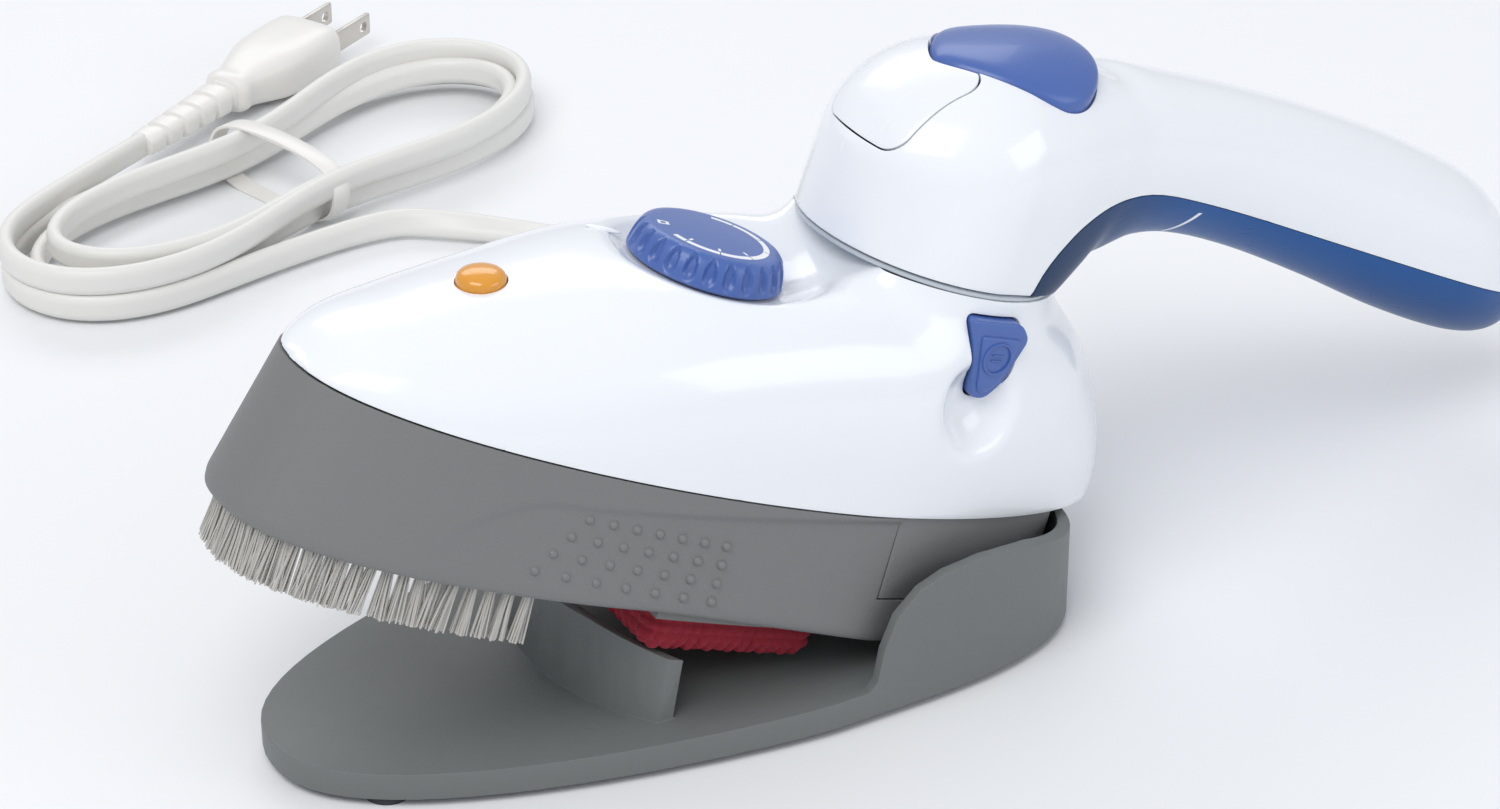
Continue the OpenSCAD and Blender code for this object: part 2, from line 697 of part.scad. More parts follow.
module stand() color("#6d7270") {
    top = foot_h + plate;
    difference() {
        translate([0, 0, foot_h]) linear_extrude(height = plate) stand_plan(0);
        translate([0, 0, foot_h - 1]) linear_extrude(height = plate - 1.6) stand_plan(3);
    }
    intersection() {
        linear_extrude(height = 40) difference() {
            stand_plan(0);
            stand_plan(stand_wall);
        }
        translate([0, 60, 0]) rotate([90, 0, 0]) linear_extrude(height = 120) cup_profile();
    }
    intersection() {
        translate([-41.3, 0, top - 1]) rotate_extrude($fn = 96)
            polygon([[48.6, 0], [51.2, 0], [48.6, 19], [46, 19]]);
        translate([-120, -33, 0]) cube([60, 66, 60]);
        below_sole(pad_low - 0.5);
    }
    intersection() {
        for (s = [-1, 1]) translate([-34, s * cradle_y - 1.2, top - 1]) cube([30, 2.4, 20]);
        below_sole(-0.3);
    }
}

module stand_feet() color("#3f4243") {
    for (p = foot_places) translate([p[0], p[1], 0])
        cylinder(r = 5, h = foot_h + plate - 1.6 - eps, $fn = 40);
}

module cord_gland() color("#e9e9e4") on_stand() {
    translate([gland_x, 0, gland_z]) rotate([-90, 0, 0]) rotate_extrude($fn = 40)
        polygon([[0, 27], [7, 27], [7, 29], [5, 29], [5, 33], [6.4, 33], [6.4, 35], [3.7, 60], [0, 60]]);
}

// Direction of a route at point i
function route_dir(r, i) =
    let (a = r[max(i - 1, 0)], b = r[min(i + 1, len(r) - 1)])
    (b - a) / norm(b - a);
// Point of a route, as a smooth curve through the hand-set points
function route_at(r, i, t) =
    let (a = r[i], b = r[i + 1], h = norm(b - a), u = 1 - t)
    u * u * (1 + 2 * t) * a + t * t * (3 - 2 * t) * b
        + h * t * u * (u * route_dir(r, i) - t * route_dir(r, i + 1));
function tube_ring(c, d) =
    let (side = cross(d, [0, 0, 1]) / norm(cross(d, [0, 0, 1])), up = cross(d, side))
    [for (j = [0 : 9]) c + cord_w / 2 * (cos(36 * j) * side + sin(36 * j) * up)];

module cord_run() color("#e6e6e1") {
    for (r = [cord_route, tail_route]) {
        last = len(r) - 1;
        steps = [for (i = [0 : last - 1], t = [0, 0.5]) [i, t]];
        skin(concat([for (s = steps) tube_ring(route_at(r, s[0], s[1]),
            (1 - s[1]) * route_dir(r, s[0]) + s[1] * route_dir(r, s[0] + 1))],
            [tube_ring(r[last], route_dir(r, last))]));
    }
}

// Moves a piece drawn along +X onto the hank
module on_hank() {
    translate([hank_at[0], hank_at[1], 0]) rotate([0, 0, hank_turn]) children();
}

// Half width of the tied hank, pinched by its tie
function hank_width(u) = hank_side * pow(1 - pow(abs(u) / hank_half, 4), 0.5) * (1 - 0.3 * exp(-pow(u / 24, 2)));

module hank_plan() {
    half = [for (i = [-40 : 40]) let (u = hank_half * sin(90 * i / 40)) [u, hank_width(u)]];
    polygon(concat(half, [for (i = [79 : -1 : 1]) [half[i][0], -half[i][1]]]));
}

module cord_hank() color("#e6e6e1") on_hank() {
    translate([0, 0, tie_t]) linear_extrude(height = hank_h) hank_plan();
}

module cord_tie() color("#f2f2ee") on_hank() {
    side = hank_width(tie_w / 2) + 0.2;
    difference() {
        translate([-tie_w / 2, -side - tie_t, 0]) cube([tie_w, 2 * (side + tie_t), hank_h + 2 * tie_t]);
        translate([-tie_w, -side, tie_t]) cube([2 * tie_w, 2 * side, hank_h]);
    }
}

// Moves a piece drawn along +X onto the plug's place behind the hank
module on_plug() {
    translate(plug_at) rotate([0, 0, plug_turn]) children();
}

module plug_body() color("#f0efe9") on_plug() {
    rotate([0, 90, 0]) rotate_extrude($fn = 40)
        polygon([[0, -36.5], [3.6, -36.5], [4.8, -2], [6.9, 0], [6.9, 10], [0, 10]]);
    translate([10, 0, 0]) rotate([90, 0, 90]) linear_extrude(height = 26) round_rect(22, 14, 5);
}

module plug_blades() color("silver") on_plug() {
    for (s = [-1, 1]) difference() {
        translate([34, s * 6.35 - 0.75, -3.15]) cube([19.5, 1.5, 6.3]);
        translate([50, 0, 0]) rotate([90, 0, 0]) cylinder(r = 1.5, h = 30, center = true, $fn = 24);
    }
}

stand();
stand_feet();
base_frame();
sole_plate();
steam_chamber();
heater_element();
thermal_fuse();
thermostat();
terminal_block();
lamp_bulb();
upper_shell();
lamp_lens();
base_screws();
swivel_ring();
dial();
dial_shaft();
lock_button();
lock_spring();
handle_shell();
water_tank();
tank_seal();
swivel_spigot();
spigot_nut();
spigot_screws();
water_tube();
filler_lid();
filler_plug();
steam_trigger();
trigger_pin();
trigger_spring();
valve_rod();
brush_frame();
grip_studs();
bristle_tufts();
pad_holder();
lint_pad();
cord_gland();
cord_run();
cord_hank();
cord_tie();
plug_body();
plug_blades();
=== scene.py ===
# Handheld garment steamer on its stand: looks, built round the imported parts.
import json
import math
import random

import bmesh
import bpy
import numpy as np
from mathutils import Matrix, Vector


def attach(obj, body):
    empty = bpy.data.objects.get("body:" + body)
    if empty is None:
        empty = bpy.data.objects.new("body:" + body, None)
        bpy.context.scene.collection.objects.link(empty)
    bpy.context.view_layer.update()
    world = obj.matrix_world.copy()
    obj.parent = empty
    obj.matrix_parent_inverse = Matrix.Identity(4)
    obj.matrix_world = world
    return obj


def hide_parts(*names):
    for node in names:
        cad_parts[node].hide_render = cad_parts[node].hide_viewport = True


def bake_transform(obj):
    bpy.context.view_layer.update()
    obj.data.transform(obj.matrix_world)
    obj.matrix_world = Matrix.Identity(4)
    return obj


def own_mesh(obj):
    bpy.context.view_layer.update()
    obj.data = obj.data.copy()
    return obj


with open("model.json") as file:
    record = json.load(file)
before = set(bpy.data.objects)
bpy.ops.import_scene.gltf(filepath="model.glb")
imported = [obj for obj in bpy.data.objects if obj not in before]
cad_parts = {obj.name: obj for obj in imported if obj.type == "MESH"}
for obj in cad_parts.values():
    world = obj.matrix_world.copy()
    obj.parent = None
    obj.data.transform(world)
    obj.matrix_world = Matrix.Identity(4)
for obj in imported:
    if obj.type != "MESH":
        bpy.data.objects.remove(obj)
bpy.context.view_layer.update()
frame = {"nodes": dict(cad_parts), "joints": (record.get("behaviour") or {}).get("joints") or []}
print("frame loaded:", len(frame["nodes"]), "parts")

# The head's own axes come from the handle's swivel, which stands square to the sole
swivel = next(j for j in frame["joints"] if j["name"] == "handle_swivel")
headTilt = math.atan2(swivel["axis"][0], swivel["axis"][2])
swivelHeight = 0.0708
headOrigin = Vector(swivel["pos_m"]) - Vector(swivel["axis"]) * swivelHeight
onHead = Matrix.Translation(headOrigin) @ Matrix.Rotation(headTilt, 4, "Y") @ Matrix.Scale(0.001, 4)
onFloor = Matrix.Scale(0.001, 4)


# Camera, floor and lights
view = {"azimuth": -29.9, "elevation": 30.35, "distance": 0.855, "lens": 99.9,
        "aim": (-0.040, 0, 0.0534), "floor": (0.86, 0.87, 0.885)}


def placeCamera():
    az, el = math.radians(view["azimuth"]), math.radians(view["elevation"])
    back = Vector((math.sin(az) * math.cos(el), -math.cos(az) * math.cos(el), math.sin(el)))
    data = bpy.data.cameras.new("studioCamera")
    data.lens, data.sensor_width, data.clip_end = view["lens"], 36, 20
    camera = bpy.data.objects.new("studioCamera", data)
    camera.location = Vector(view["aim"]) + back * view["distance"]
    camera.rotation_euler = back.to_track_quat("Z", "Y").to_euler()
    bpy.context.scene.collection.objects.link(camera)
    bpy.context.scene.camera = camera


def softbox(name, where, size, power, tint=(1, 1, 1)):
    data = bpy.data.lights.new(name, "AREA")
    data.shape, data.size, data.size_y = "RECTANGLE", size[0], size[1]
    data.energy, data.color = power, tint
    lamp = bpy.data.objects.new(name, data)
    lamp.location = where
    lamp.rotation_euler = (Vector(where) - Vector((0, 0.03, 0.04))).to_track_quat("Z", "Y").to_euler()
    bpy.context.scene.collection.objects.link(lamp)


placeCamera()
softbox("keyLight", (-0.9, -0.5, 1.6), (1.3, 1.0), 17, (1, 0.995, 0.985))
softbox("fillLight", (1.1, -1.3, 0.8), (1.2, 0.8), 5, (0.96, 0.98, 1))
softbox("backLight", (0.5, 1.5, 1.2), (1.6, 0.7), 7.5)
world = bpy.data.worlds.new("studioWorld")
world.use_nodes = True
world.node_tree.nodes["Background"].inputs["Color"].default_value = (0.93, 0.95, 1, 1)
world.node_tree.nodes["Background"].inputs["Strength"].default_value = 0.62
bpy.context.scene.world = world
bpy.context.scene.view_settings.view_transform = "Standard"


# Small helpers
def deselectAll():
    if bpy.context.object and bpy.context.object.mode != "OBJECT":
        bpy.ops.object.mode_set(mode="OBJECT")
    bpy.ops.object.select_all(action="DESELECT")


def pick(obj):
    deselectAll()
    obj.select_set(True)
    bpy.context.view_layer.objects.active = obj
    return obj


def added(name):
    # The primitive that an operator has just added
    obj = bpy.context.object
    obj.name = obj.data.name = name
    return obj


def fromFaces(name, points, faces):
    data = bpy.data.meshes.new(name)
    data.from_pydata([tuple(map(float, p)) for p in points], [], faces)
    data.update()
    obj = bpy.data.objects.new(name, data)
    bpy.context.scene.collection.objects.link(obj)
    return obj


def loft(name, rings, closed=True, capped=True):
    # Skin through rings that all hold the same number of points
    rings = np.asarray(rings, float)
    count, size = rings.shape[:2]
    span = size if closed else size - 1
    faces = []
    for i in range(count - 1):
        for j in range(span):
            k = (j + 1) % size
            faces.append((i * size + j, i * size + k, (i + 1) * size + k, (i + 1) * size + j))
    if capped:
        faces.append(tuple(range(size))[::-1])
        faces.append(tuple((count - 1) * size + j for j in range(size)))
    return tidyNormals(fromFaces(name, rings.reshape(-1, 3), faces))


def tidyNormals(obj, merge=0.0001):
    pick(obj)
    bpy.ops.object.mode_set(mode="EDIT")
    bpy.ops.mesh.select_all(action="SELECT")
    bpy.ops.mesh.remove_doubles(threshold=merge)
    bpy.ops.mesh.normals_make_consistent(inside=False)
    bpy.ops.object.mode_set(mode="OBJECT")
    return obj


def useModifier(obj, kind, **settings):
    pick(obj)
    modifier = obj.modifiers.new(kind.title(), kind)
    for key, value in settings.items():
        setattr(modifier, key, value)
    bpy.ops.object.modifier_apply(modifier=modifier.name)
    return obj


def softEdges(obj, width, segments=2, angle=35):
    return useModifier(obj, "BEVEL", width=width, segments=segments, limit_method="ANGLE",
                       angle_limit=math.radians(angle), use_clamp_overlap=True)


def markFaces(obj, index):
    obj.data.materials.clear()
    obj.data.materials.append(skinMark)
    obj.data.materials.append(cutMark)
    for face in obj.data.polygons:
        face.material_index = index


def carve(obj, cutter, kind="DIFFERENCE"):
    # Faces left by the cutter keep its mark, so that they can be taken off afterwards
    useModifier(obj, "BOOLEAN", object=cutter, operation=kind, solver="EXACT", material_mode="INDEX")
    bpy.data.objects.remove(cutter)
    return obj


def cutAway(obj, cutter):
    # Cuts so that dropCutFaces can open what the cutter touched
    markFaces(cutter, 1)
    return carve(obj, cutter)


def dropCutFaces(obj):
    mesh = bmesh.new()
    mesh.from_mesh(obj.data)
    bmesh.ops.delete(mesh, geom=[f for f in mesh.faces if f.material_index == 1], context="FACES")
    bmesh.ops.remove_doubles(mesh, verts=mesh.verts, dist=0.06)
    bmesh.ops.dissolve_degenerate(mesh, edges=mesh.edges, dist=0.02)
    mesh.to_mesh(obj.data)
    mesh.free()
    return obj


def joined(name, parts):
    pick(parts[0])
    for part in parts[1:]:
        part.select_set(True)
    bpy.ops.object.join()
    return added(name)


def settle(obj, place, smooth=40):
    # Puts the finished shape in its place and leaves the object itself at the origin
    obj.data.transform(place @ obj.matrix_basis)
    obj.matrix_basis = Matrix.Identity(4)
    pick(obj)
    if smooth:
        bpy.ops.object.shade_smooth_by_angle(angle=math.radians(smooth))
    return obj


def finishPiece(obj, material, body, nodes=()):
    obj.data.materials.clear()
    obj.data.materials.append(material)
    for face in obj.data.polygons:
        face.material_index = 0
    if nodes:
        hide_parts(*nodes)
    if body:
        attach(obj, body)
    return obj


def spun(name, profile, steps=96):
    # Profile of (radius, height) turned round the upright axis
    data = bpy.data.meshes.new(name)
    data.from_pydata([(r, 0, z) for r, z in profile], [(i, i + 1) for i in range(len(profile) - 1)], [])
    obj = bpy.data.objects.new(name, data)
    bpy.context.scene.collection.objects.link(obj)
    pick(obj)
    bpy.ops.object.mode_set(mode="EDIT")
    bpy.ops.mesh.select_all(action="SELECT")
    bpy.ops.mesh.spin(steps=steps, angle=math.tau, center=(0, 0, 0), axis=(0, 0, 1))
    bpy.ops.mesh.select_all(action="SELECT")
    bpy.ops.mesh.remove_doubles(threshold=0.0005)
    bpy.ops.mesh.normals_make_consistent(inside=False)
    bpy.ops.object.mode_set(mode="OBJECT")
    return obj


def tube(name, radius, low, high, steps=64, at=(0, 0)):
    deselectAll()
    bpy.ops.mesh.primitive_cylinder_add(vertices=steps, radius=radius, depth=high - low,
                                        location=(at[0], at[1], (low + high) / 2))
    bpy.ops.object.transform_apply(location=True, rotation=True, scale=True)
    return added(name)


def block(name, low, high):
    deselectAll()
    middle = [(a + b) / 2 for a, b in zip(low, high)]
    bpy.ops.mesh.primitive_cube_add(size=1, location=middle, scale=[b - a for a, b in zip(low, high)])
    bpy.ops.object.transform_apply(location=True, rotation=True, scale=True)
    return added(name)


def slab(name, outline, low, high, across="Z"):
    # Flat outline given thickness along Z, or along Y when it is drawn as (x, z)
    count = len(outline)
    if across == "Z":
        points = [(x, y, low) for x, y in outline] + [(x, y, high) for x, y in outline]
    else:
        points = [(x, low, z) for x, z in outline] + [(x, high, z) for x, z in outline]
    faces = [tuple(range(count)), tuple(range(count, 2 * count))]
    faces += [(i, (i + 1) % count, count + (i + 1) % count, count + i) for i in range(count)]
    return tidyNormals(fromFaces(name, points, faces))


def smoothLine(knots, x):
    # Smooth line through given knots, as in the part's own drawing
    k = np.asarray(knots, float)
    x = np.asarray(x, float)
    i = np.clip(np.searchsorted(k[:, 0], x, side="right") - 1, 0, len(k) - 2)
    before, after = np.maximum(np.arange(len(k)) - 1, 0), np.minimum(np.arange(len(k)) + 1, len(k) - 1)
    slope = (k[after, 1] - k[before, 1]) / (k[after, 0] - k[before, 0])
    h = k[i + 1, 0] - k[i, 0]
    t = np.clip((x - k[i, 0]) / h, 0, 1)
    u = 1 - t
    return (u * u * (1 + 2 * t) * k[i, 1] + t * t * (3 - 2 * t) * k[i + 1, 1]
            + h * t * u * (u * slope[i] - t * slope[i + 1]))


def bow(v, n):
    return np.sign(v) * np.abs(v) ** (2 / n)


def ease(v):
    v = np.clip(v, 0, 1)
    return v * v * (3 - 2 * v)


def evenly(points, count, closed=False):
    # The same line with its points an even distance apart
    points = np.asarray(points, float)
    if closed:
        points = np.vstack([points, points[:1]])
    run = np.concatenate([[0], np.cumsum(np.linalg.norm(np.diff(points, axis=0), axis=1))])
    at = np.linspace(0, run[-1], count + 1 if closed else count)
    made = np.stack([np.interp(at, run, points[:, i]) for i in range(points.shape[1])], 1)
    return made[:-1] if closed else made


# Finishes
skinMark, cutMark = bpy.data.materials.new("skinMark"), bpy.data.materials.new("cutMark")


def newGroup(name, inputs, outputs):
    group = bpy.data.node_groups.new(name, "ShaderNodeTree")
    for label, kind, value in inputs:
        socket = group.interface.new_socket(label, in_out="INPUT", socket_type="NodeSocket" + kind)
        if value is not None:
            socket.default_value = value
    for label, kind in outputs:
        group.interface.new_socket(label, in_out="OUTPUT", socket_type="NodeSocket" + kind)
    return group, group.nodes.new("NodeGroupInput"), group.nodes.new("NodeGroupOutput")


def put(tree, kind, values=None, **settings):
    made = tree.nodes.new("ShaderNode" + kind)
    for key, value in settings.items():
        setattr(made, key, value)
    for key, value in (values or {}).items():
        socket = made.inputs[key]
        if isinstance(value, bpy.types.NodeSocket):
            tree.links.new(value, socket)
        else:
            socket.default_value = value
    return made


def reckon(tree, how, a, b=0.0, c=None):
    made = put(tree, "Math", {0: a, 1: b}, operation=how)
    if c is not None:
        made.inputs[2].default_value = c
    return made.outputs[0]


def mixed(tree, share, a, b):
    made = put(tree, "Mix", data_type="RGBA")
    for key, value in ((0, share), (6, a), (7, b)):
        if isinstance(value, bpy.types.NodeSocket):
            tree.links.new(value, made.inputs[key])
        else:
            made.inputs[key].default_value = value if key == 0 else (*value[:3], 1)
    return made.outputs[2]


def objectCoord(tree):
    return next(n for n in tree.nodes if n.type == "TEX_COORD").outputs["Object"]


def localAxes(tree, origin):
    # Millimetres along the head's own axes, counted from the origin given
    local = put(tree, "Mapping", {"Vector": objectCoord(tree), "Location": origin, "Rotation": (0, headTilt, 0),
                                  "Scale": (0.001, 0.001, 0.001)}, vector_type="TEXTURE")
    return put(tree, "SeparateXYZ", {0: local.outputs[0]}).outputs


def makeGrain():
    # Spark-eroded mould grain: fine pits for the bump, and a slow drift as a second output
    tree, given, out = newGroup("mouldGrain", [("Vector", "Vector", None), ("Scale", "Float", 2500.0)],
                                [("Height", "Float"), ("Drift", "Float")])
    fine = put(tree, "TexNoise", {"Vector": given.outputs["Vector"], "Scale": given.outputs["Scale"],
                                  "Detail": 2.0, "Roughness": 0.6})
    slow = put(tree, "TexNoise", {"Vector": given.outputs["Vector"], "Scale": 28.0, "Detail": 3.0})
    tree.links.new(fine.outputs[0], out.inputs["Height"])
    tree.links.new(slow.outputs[0], out.inputs["Drift"])
    return tree


def makeFlow():
    # Faint flow marks and settled dust on moulded plastic
    tree, given, out = newGroup("mouldFlow", [("Vector", "Vector", None), ("Base", "Color", (1, 1, 1, 1)),
                                              ("Shade", "Color", (0.8, 0.8, 0.8, 1)), ("Amount", "Float", 0.3)],
                                [("Color", "Color"), ("Mask", "Float")])
    stretch = put(tree, "Mapping", {"Vector": given.outputs["Vector"], "Scale": (9.0, 26.0, 26.0)})
    cloud = put(tree, "TexNoise", {"Vector": stretch.outputs[0], "Scale": 1.0, "Detail": 4.0,
                                   "Distortion": 0.4})
    share = reckon(tree, "MULTIPLY", cloud.outputs[0], given.outputs["Amount"])
    tree.links.new(mixed(tree, share, given.outputs["Base"], given.outputs["Shade"]), out.inputs["Color"])
    tree.links.new(cloud.outputs[0], out.inputs["Mask"])
    return tree


def makeScuffs():
    # Hairline wipe marks that show only in the gloss
    tree, given, out = newGroup("wipeMarks", [("Vector", "Vector", None), ("Base", "Float", 0.3),
                                              ("Depth", "Float", 0.05)], [("Roughness", "Float")])
    stretch = put(tree, "Mapping", {"Vector": given.outputs["Vector"], "Rotation": (0.3, 0.2, 0.5),
                                    "Scale": (40.0, 900.0, 420.0)})
    lines = put(tree, "TexNoise", {"Vector": stretch.outputs[0], "Scale": 1.0, "Detail": 2.0})
    blot = put(tree, "TexNoise", {"Vector": given.outputs["Vector"], "Scale": 34.0, "Detail": 2.0})
    both = reckon(tree, "MULTIPLY", lines.outputs[0], blot.outputs[0])
    made = put(tree, "Math", {0: both, 1: given.outputs["Depth"], 2: given.outputs["Base"]},
               operation="MULTIPLY_ADD")
    tree.links.new(made.outputs[0], out.inputs["Roughness"])
    return tree


mouldGrain, mouldFlow, wipeMarks = makeGrain(), makeFlow(), makeScuffs()


def plastic(name, base, shade, gloss, grain=2500.0, bump=0.04, coat=0.0, amount=0.3, depth=0.10, **extra):
    made = bpy.data.materials.new(name)
    made.use_nodes = True
    tree = made.node_tree
    shader = tree.nodes["Principled BSDF"]
    where = put(tree, "TexCoord").outputs["Object"]
    flow = put(tree, "Group", node_tree=mouldFlow)
    pits = put(tree, "Group", node_tree=mouldGrain)
    marks = put(tree, "Group", node_tree=wipeMarks)
    for one in (flow, pits, marks):
        tree.links.new(where, one.inputs["Vector"])
    flow.inputs["Base"].default_value, flow.inputs["Shade"].default_value = (*base, 1), (*shade, 1)
    flow.inputs["Amount"].default_value = amount
    pits.inputs["Scale"].default_value = grain
    marks.inputs["Base"].default_value, marks.inputs["Depth"].default_value = gloss, depth
    relief = put(tree, "Bump", {"Height": pits.outputs["Height"], "Strength": bump, "Distance": 0.0002})
    tree.links.new(flow.outputs["Color"], shader.inputs["Base Color"])
    tree.links.new(marks.outputs["Roughness"], shader.inputs["Roughness"])
    tree.links.new(relief.outputs[0], shader.inputs["Normal"])
    shader.inputs["Coat Weight"].default_value = coat
    shader.inputs["Coat Roughness"].default_value = 0.06
    for key, value in extra.items():
        shader.inputs[key].default_value = value
    return made


def metal(name, base, shade, gloss, brush=(1, 1, 1), bump=0.05):
    made = plastic(name, base, shade, gloss, grain=900.0, bump=bump, amount=0.5, depth=0.3, Metallic=1.0)
    tree = made.node_tree
    lines = put(tree, "Mapping", {"Vector": objectCoord(tree), "Scale": brush})
    grain = next(n for n in tree.nodes if n.type == "GROUP" and n.node_tree == mouldGrain)
    tree.links.new(lines.outputs[0], grain.inputs["Vector"])
    return made


shellWhite = plastic("shellWhite", (0.86, 0.885, 0.92), (0.79, 0.82, 0.87), 0.17, bump=0.012, coat=0.5)
lidWhite = plastic("lidWhite", (0.84, 0.865, 0.90), (0.78, 0.81, 0.86), 0.24, bump=0.03, coat=0.3)
skirtGrey = plastic("skirtGrey", (0.186, 0.189, 0.190), (0.15, 0.153, 0.155), 0.5, grain=2300.0, bump=0.55)
standGrey = plastic("standGrey", (0.158, 0.17, 0.168), (0.125, 0.137, 0.136), 0.46, grain=2100.0, bump=0.5)
innerGrey = plastic("innerGrey", (0.15, 0.155, 0.155), (0.1, 0.105, 0.105), 0.55, bump=0.3)
controlBlue = plastic("controlBlue", (0.066, 0.135, 0.41), (0.05, 0.105, 0.35), 0.3, bump=0.08, coat=0.15)
seamSilver = plastic("seamSilver", (0.52, 0.57, 0.62), (0.42, 0.46, 0.5), 0.22, bump=0.05, coat=0.4)
cordVinyl = plastic("cordVinyl", (0.80, 0.79, 0.755), (0.72, 0.71, 0.68), 0.38, bump=0.1, amount=0.4)
plugVinyl = plastic("plugVinyl", (0.83, 0.815, 0.78), (0.76, 0.74, 0.70), 0.3, bump=0.12, coat=0.1)
rubberDark = plastic("rubberDark", (0.03, 0.031, 0.032), (0.05, 0.05, 0.05), 0.7, bump=0.4)
ceramicWhite = plastic("ceramicWhite", (0.72, 0.7, 0.64), (0.62, 0.6, 0.54), 0.4, bump=0.2)
glassBulb = plastic("glassBulb", (0.85, 0.55, 0.28), (0.7, 0.4, 0.2), 0.1, coat=0.6)
brassParts = metal("brassParts", (0.72, 0.55, 0.28), (0.6, 0.43, 0.2), 0.3)
metalPlate = metal("metalPlate", (0.66, 0.67, 0.68), (0.52, 0.53, 0.54), 0.3, brush=(0.2, 1, 1))
castMetal = metal("castMetal", (0.5, 0.51, 0.52), (0.38, 0.39, 0.4), 0.5, bump=0.3)
screwSteel = metal("screwSteel", (0.55, 0.56, 0.57), (0.42, 0.43, 0.44), 0.32)
springSteel = metal("springSteel", (0.6, 0.61, 0.62), (0.45, 0.46, 0.47), 0.25)
bladeNickel = metal("bladeNickel", (0.66, 0.63, 0.58), (0.52, 0.49, 0.45), 0.26, brush=(0.15, 1, 1))
print("finishes made")


# Cord, hank, tie and plug
cordFacts = {"width": 7.0, "thick": 4.2, "groove": 0.16, "step": 2.6}
hank = {"at": (-46, 227), "turn": 17, "pinch": 0.30, "pinchLength": 26}
# Lead from the strain relief to the tie, and the cord's end from the hank to the plug
leadRoute = [(10.4, 60, 42.4), (10.8, 67, 41.6), (11.4, 74, 39.3), (12.5, 81, 35), (14, 90, 27.5),
             (16.5, 100, 18.8), (19, 109, 11.2), (21.5, 116, 6.6), (23.4, 123, 4.0), (24.2, 131, 3.2),
             (23, 139, 3.2), (19.5, 148, 3.2), (14, 156, 3.2), (7.5, 163.5, 3.2), (0, 171, 3.3),
             (-8, 178.4, 3.5), (-16.5, 185.2, 3.8), (-25, 191.4, 4.2), (-34, 197.2, 4.4)]
tailRoute = [(-90, 247.6, 7.8), (-79, 253.7, 7.4), (-69.6, 259.0, 7.2)]


def hankPoint(turn, length, side, height, bulge=0.0):
    # Point of one loop: turn 0 is the right end, a quarter turn is the far side
    c, s = math.cos(turn), math.sin(turn)
    u = length * c
    v = side * s * math.sqrt(1 + 1.4 * c * c) * (1 - hank["pinch"] * math.exp(-(u / hank["pinchLength"]) ** 2))
    if s > 0 and c > 0:
        v += bulge * math.sin(2 * turn) ** 2
    a = math.radians(hank["turn"])
    return (hank["at"][0] + u * math.cos(a) - v * math.sin(a),
            hank["at"][1] + u * math.sin(a) + v * math.cos(a), height)


def cordPath():
    # Each key: turns made, half length, half width, layer height; the lead joins at the near side
    keys = np.array([(0.00, 80.5, 28.5, 4.4), (0.25, 80.5, 28.5, 4.4), (0.50, 80, 27.5, 4.6), (0.75, 81, 27, 4.6),
                     (1.00, 77, 22.5, 4.6), (1.25, 73.5, 22.5, 4.6), (1.50, 74, 21.5, 5.2), (1.75, 75, 22, 8.5),
                     (2.00, 76, 27, 11.4), (2.25, 69, 18.5, 11.6), (2.50, 72, 17, 11.8), (2.75, 79, 24.5, 11.8),
                     (3.00, 79, 27.8, 11.6), (3.25, 80.6, 28.5, 11.0), (3.42, 81, 28, 9.8)])
    turns = np.linspace(0.06, 3.40, 330)
    loop = []
    for t in turns:
        length, side, height = (float(smoothLine(keys[:, (0, i)], t)) for i in (1, 2, 3))
        loop.append(hankPoint(-math.pi / 2 - t * math.tau, length, side, height, bulge=5 * ease((t - 1.4) / 0.6)))
    line = np.vstack([evenly(splined(leadRoute), 110), loop, tailRoute])
    for _ in range(14):  # eases the three stretches into each other
        line[1:-1] = 0.5 * line[1:-1] + 0.25 * (line[:-2] + line[2:])
        line[0], line[-1] = leadRoute[0], tailRoute[-1]
    run = np.linalg.norm(np.diff(line, axis=0), axis=1).sum()
    return evenly(line, int(run / cordFacts["step"]))


def splined(route, parts=8):
    route = np.asarray(route, float)
    run = np.concatenate([[0], np.cumsum(np.linalg.norm(np.diff(route, axis=0), axis=1))])
    at = np.linspace(0, run[-1], parts * len(route))
    return np.stack([smoothLine(np.stack([run, route[:, i]], 1), at) for i in range(3)], 1)


def makeCord():
    line = cordPath()
    run = np.concatenate([[0], np.cumsum(np.linalg.norm(np.diff(line, axis=0), axis=1))])
    ahead = np.gradient(line, axis=0)
    ahead /= np.linalg.norm(ahead, axis=1)[:, None]
    rings = []
    for p, d, s in zip(line, ahead, run):
        side = np.cross(d, (0, 0, 1.0))
        side /= max(np.linalg.norm(side), 1e-6)
        up = np.cross(side, d)
        roll = math.radians(90) * float(ease((s - 120) / 70))  # lies flat at first, then stands on edge
        wide = side * math.cos(roll) + up * math.sin(roll)
        thin = -side * math.sin(roll) + up * math.cos(roll)
        ring = []
        for k in range(20):
            a = math.tau * k / 20
            x, y = bow(math.cos(a), 2.3) * cordFacts["width"] / 2, bow(math.sin(a), 2.3) * cordFacts["thick"] / 2
            y *= 1 - cordFacts["groove"] * math.exp(-(x / 0.8) ** 2)
            ring.append(p + wide * x + thin * y)
        rings.append(ring)
    cord = settle(loft("mainsCord", rings), onFloor, 60)
    return cord, [tuple(p * 0.001) for p in line], float(run[-1]) * 0.001


tie = {"half": 22.9, "middle": 8.1, "tall": 7.75, "along": 2.6, "lean": 1.6}


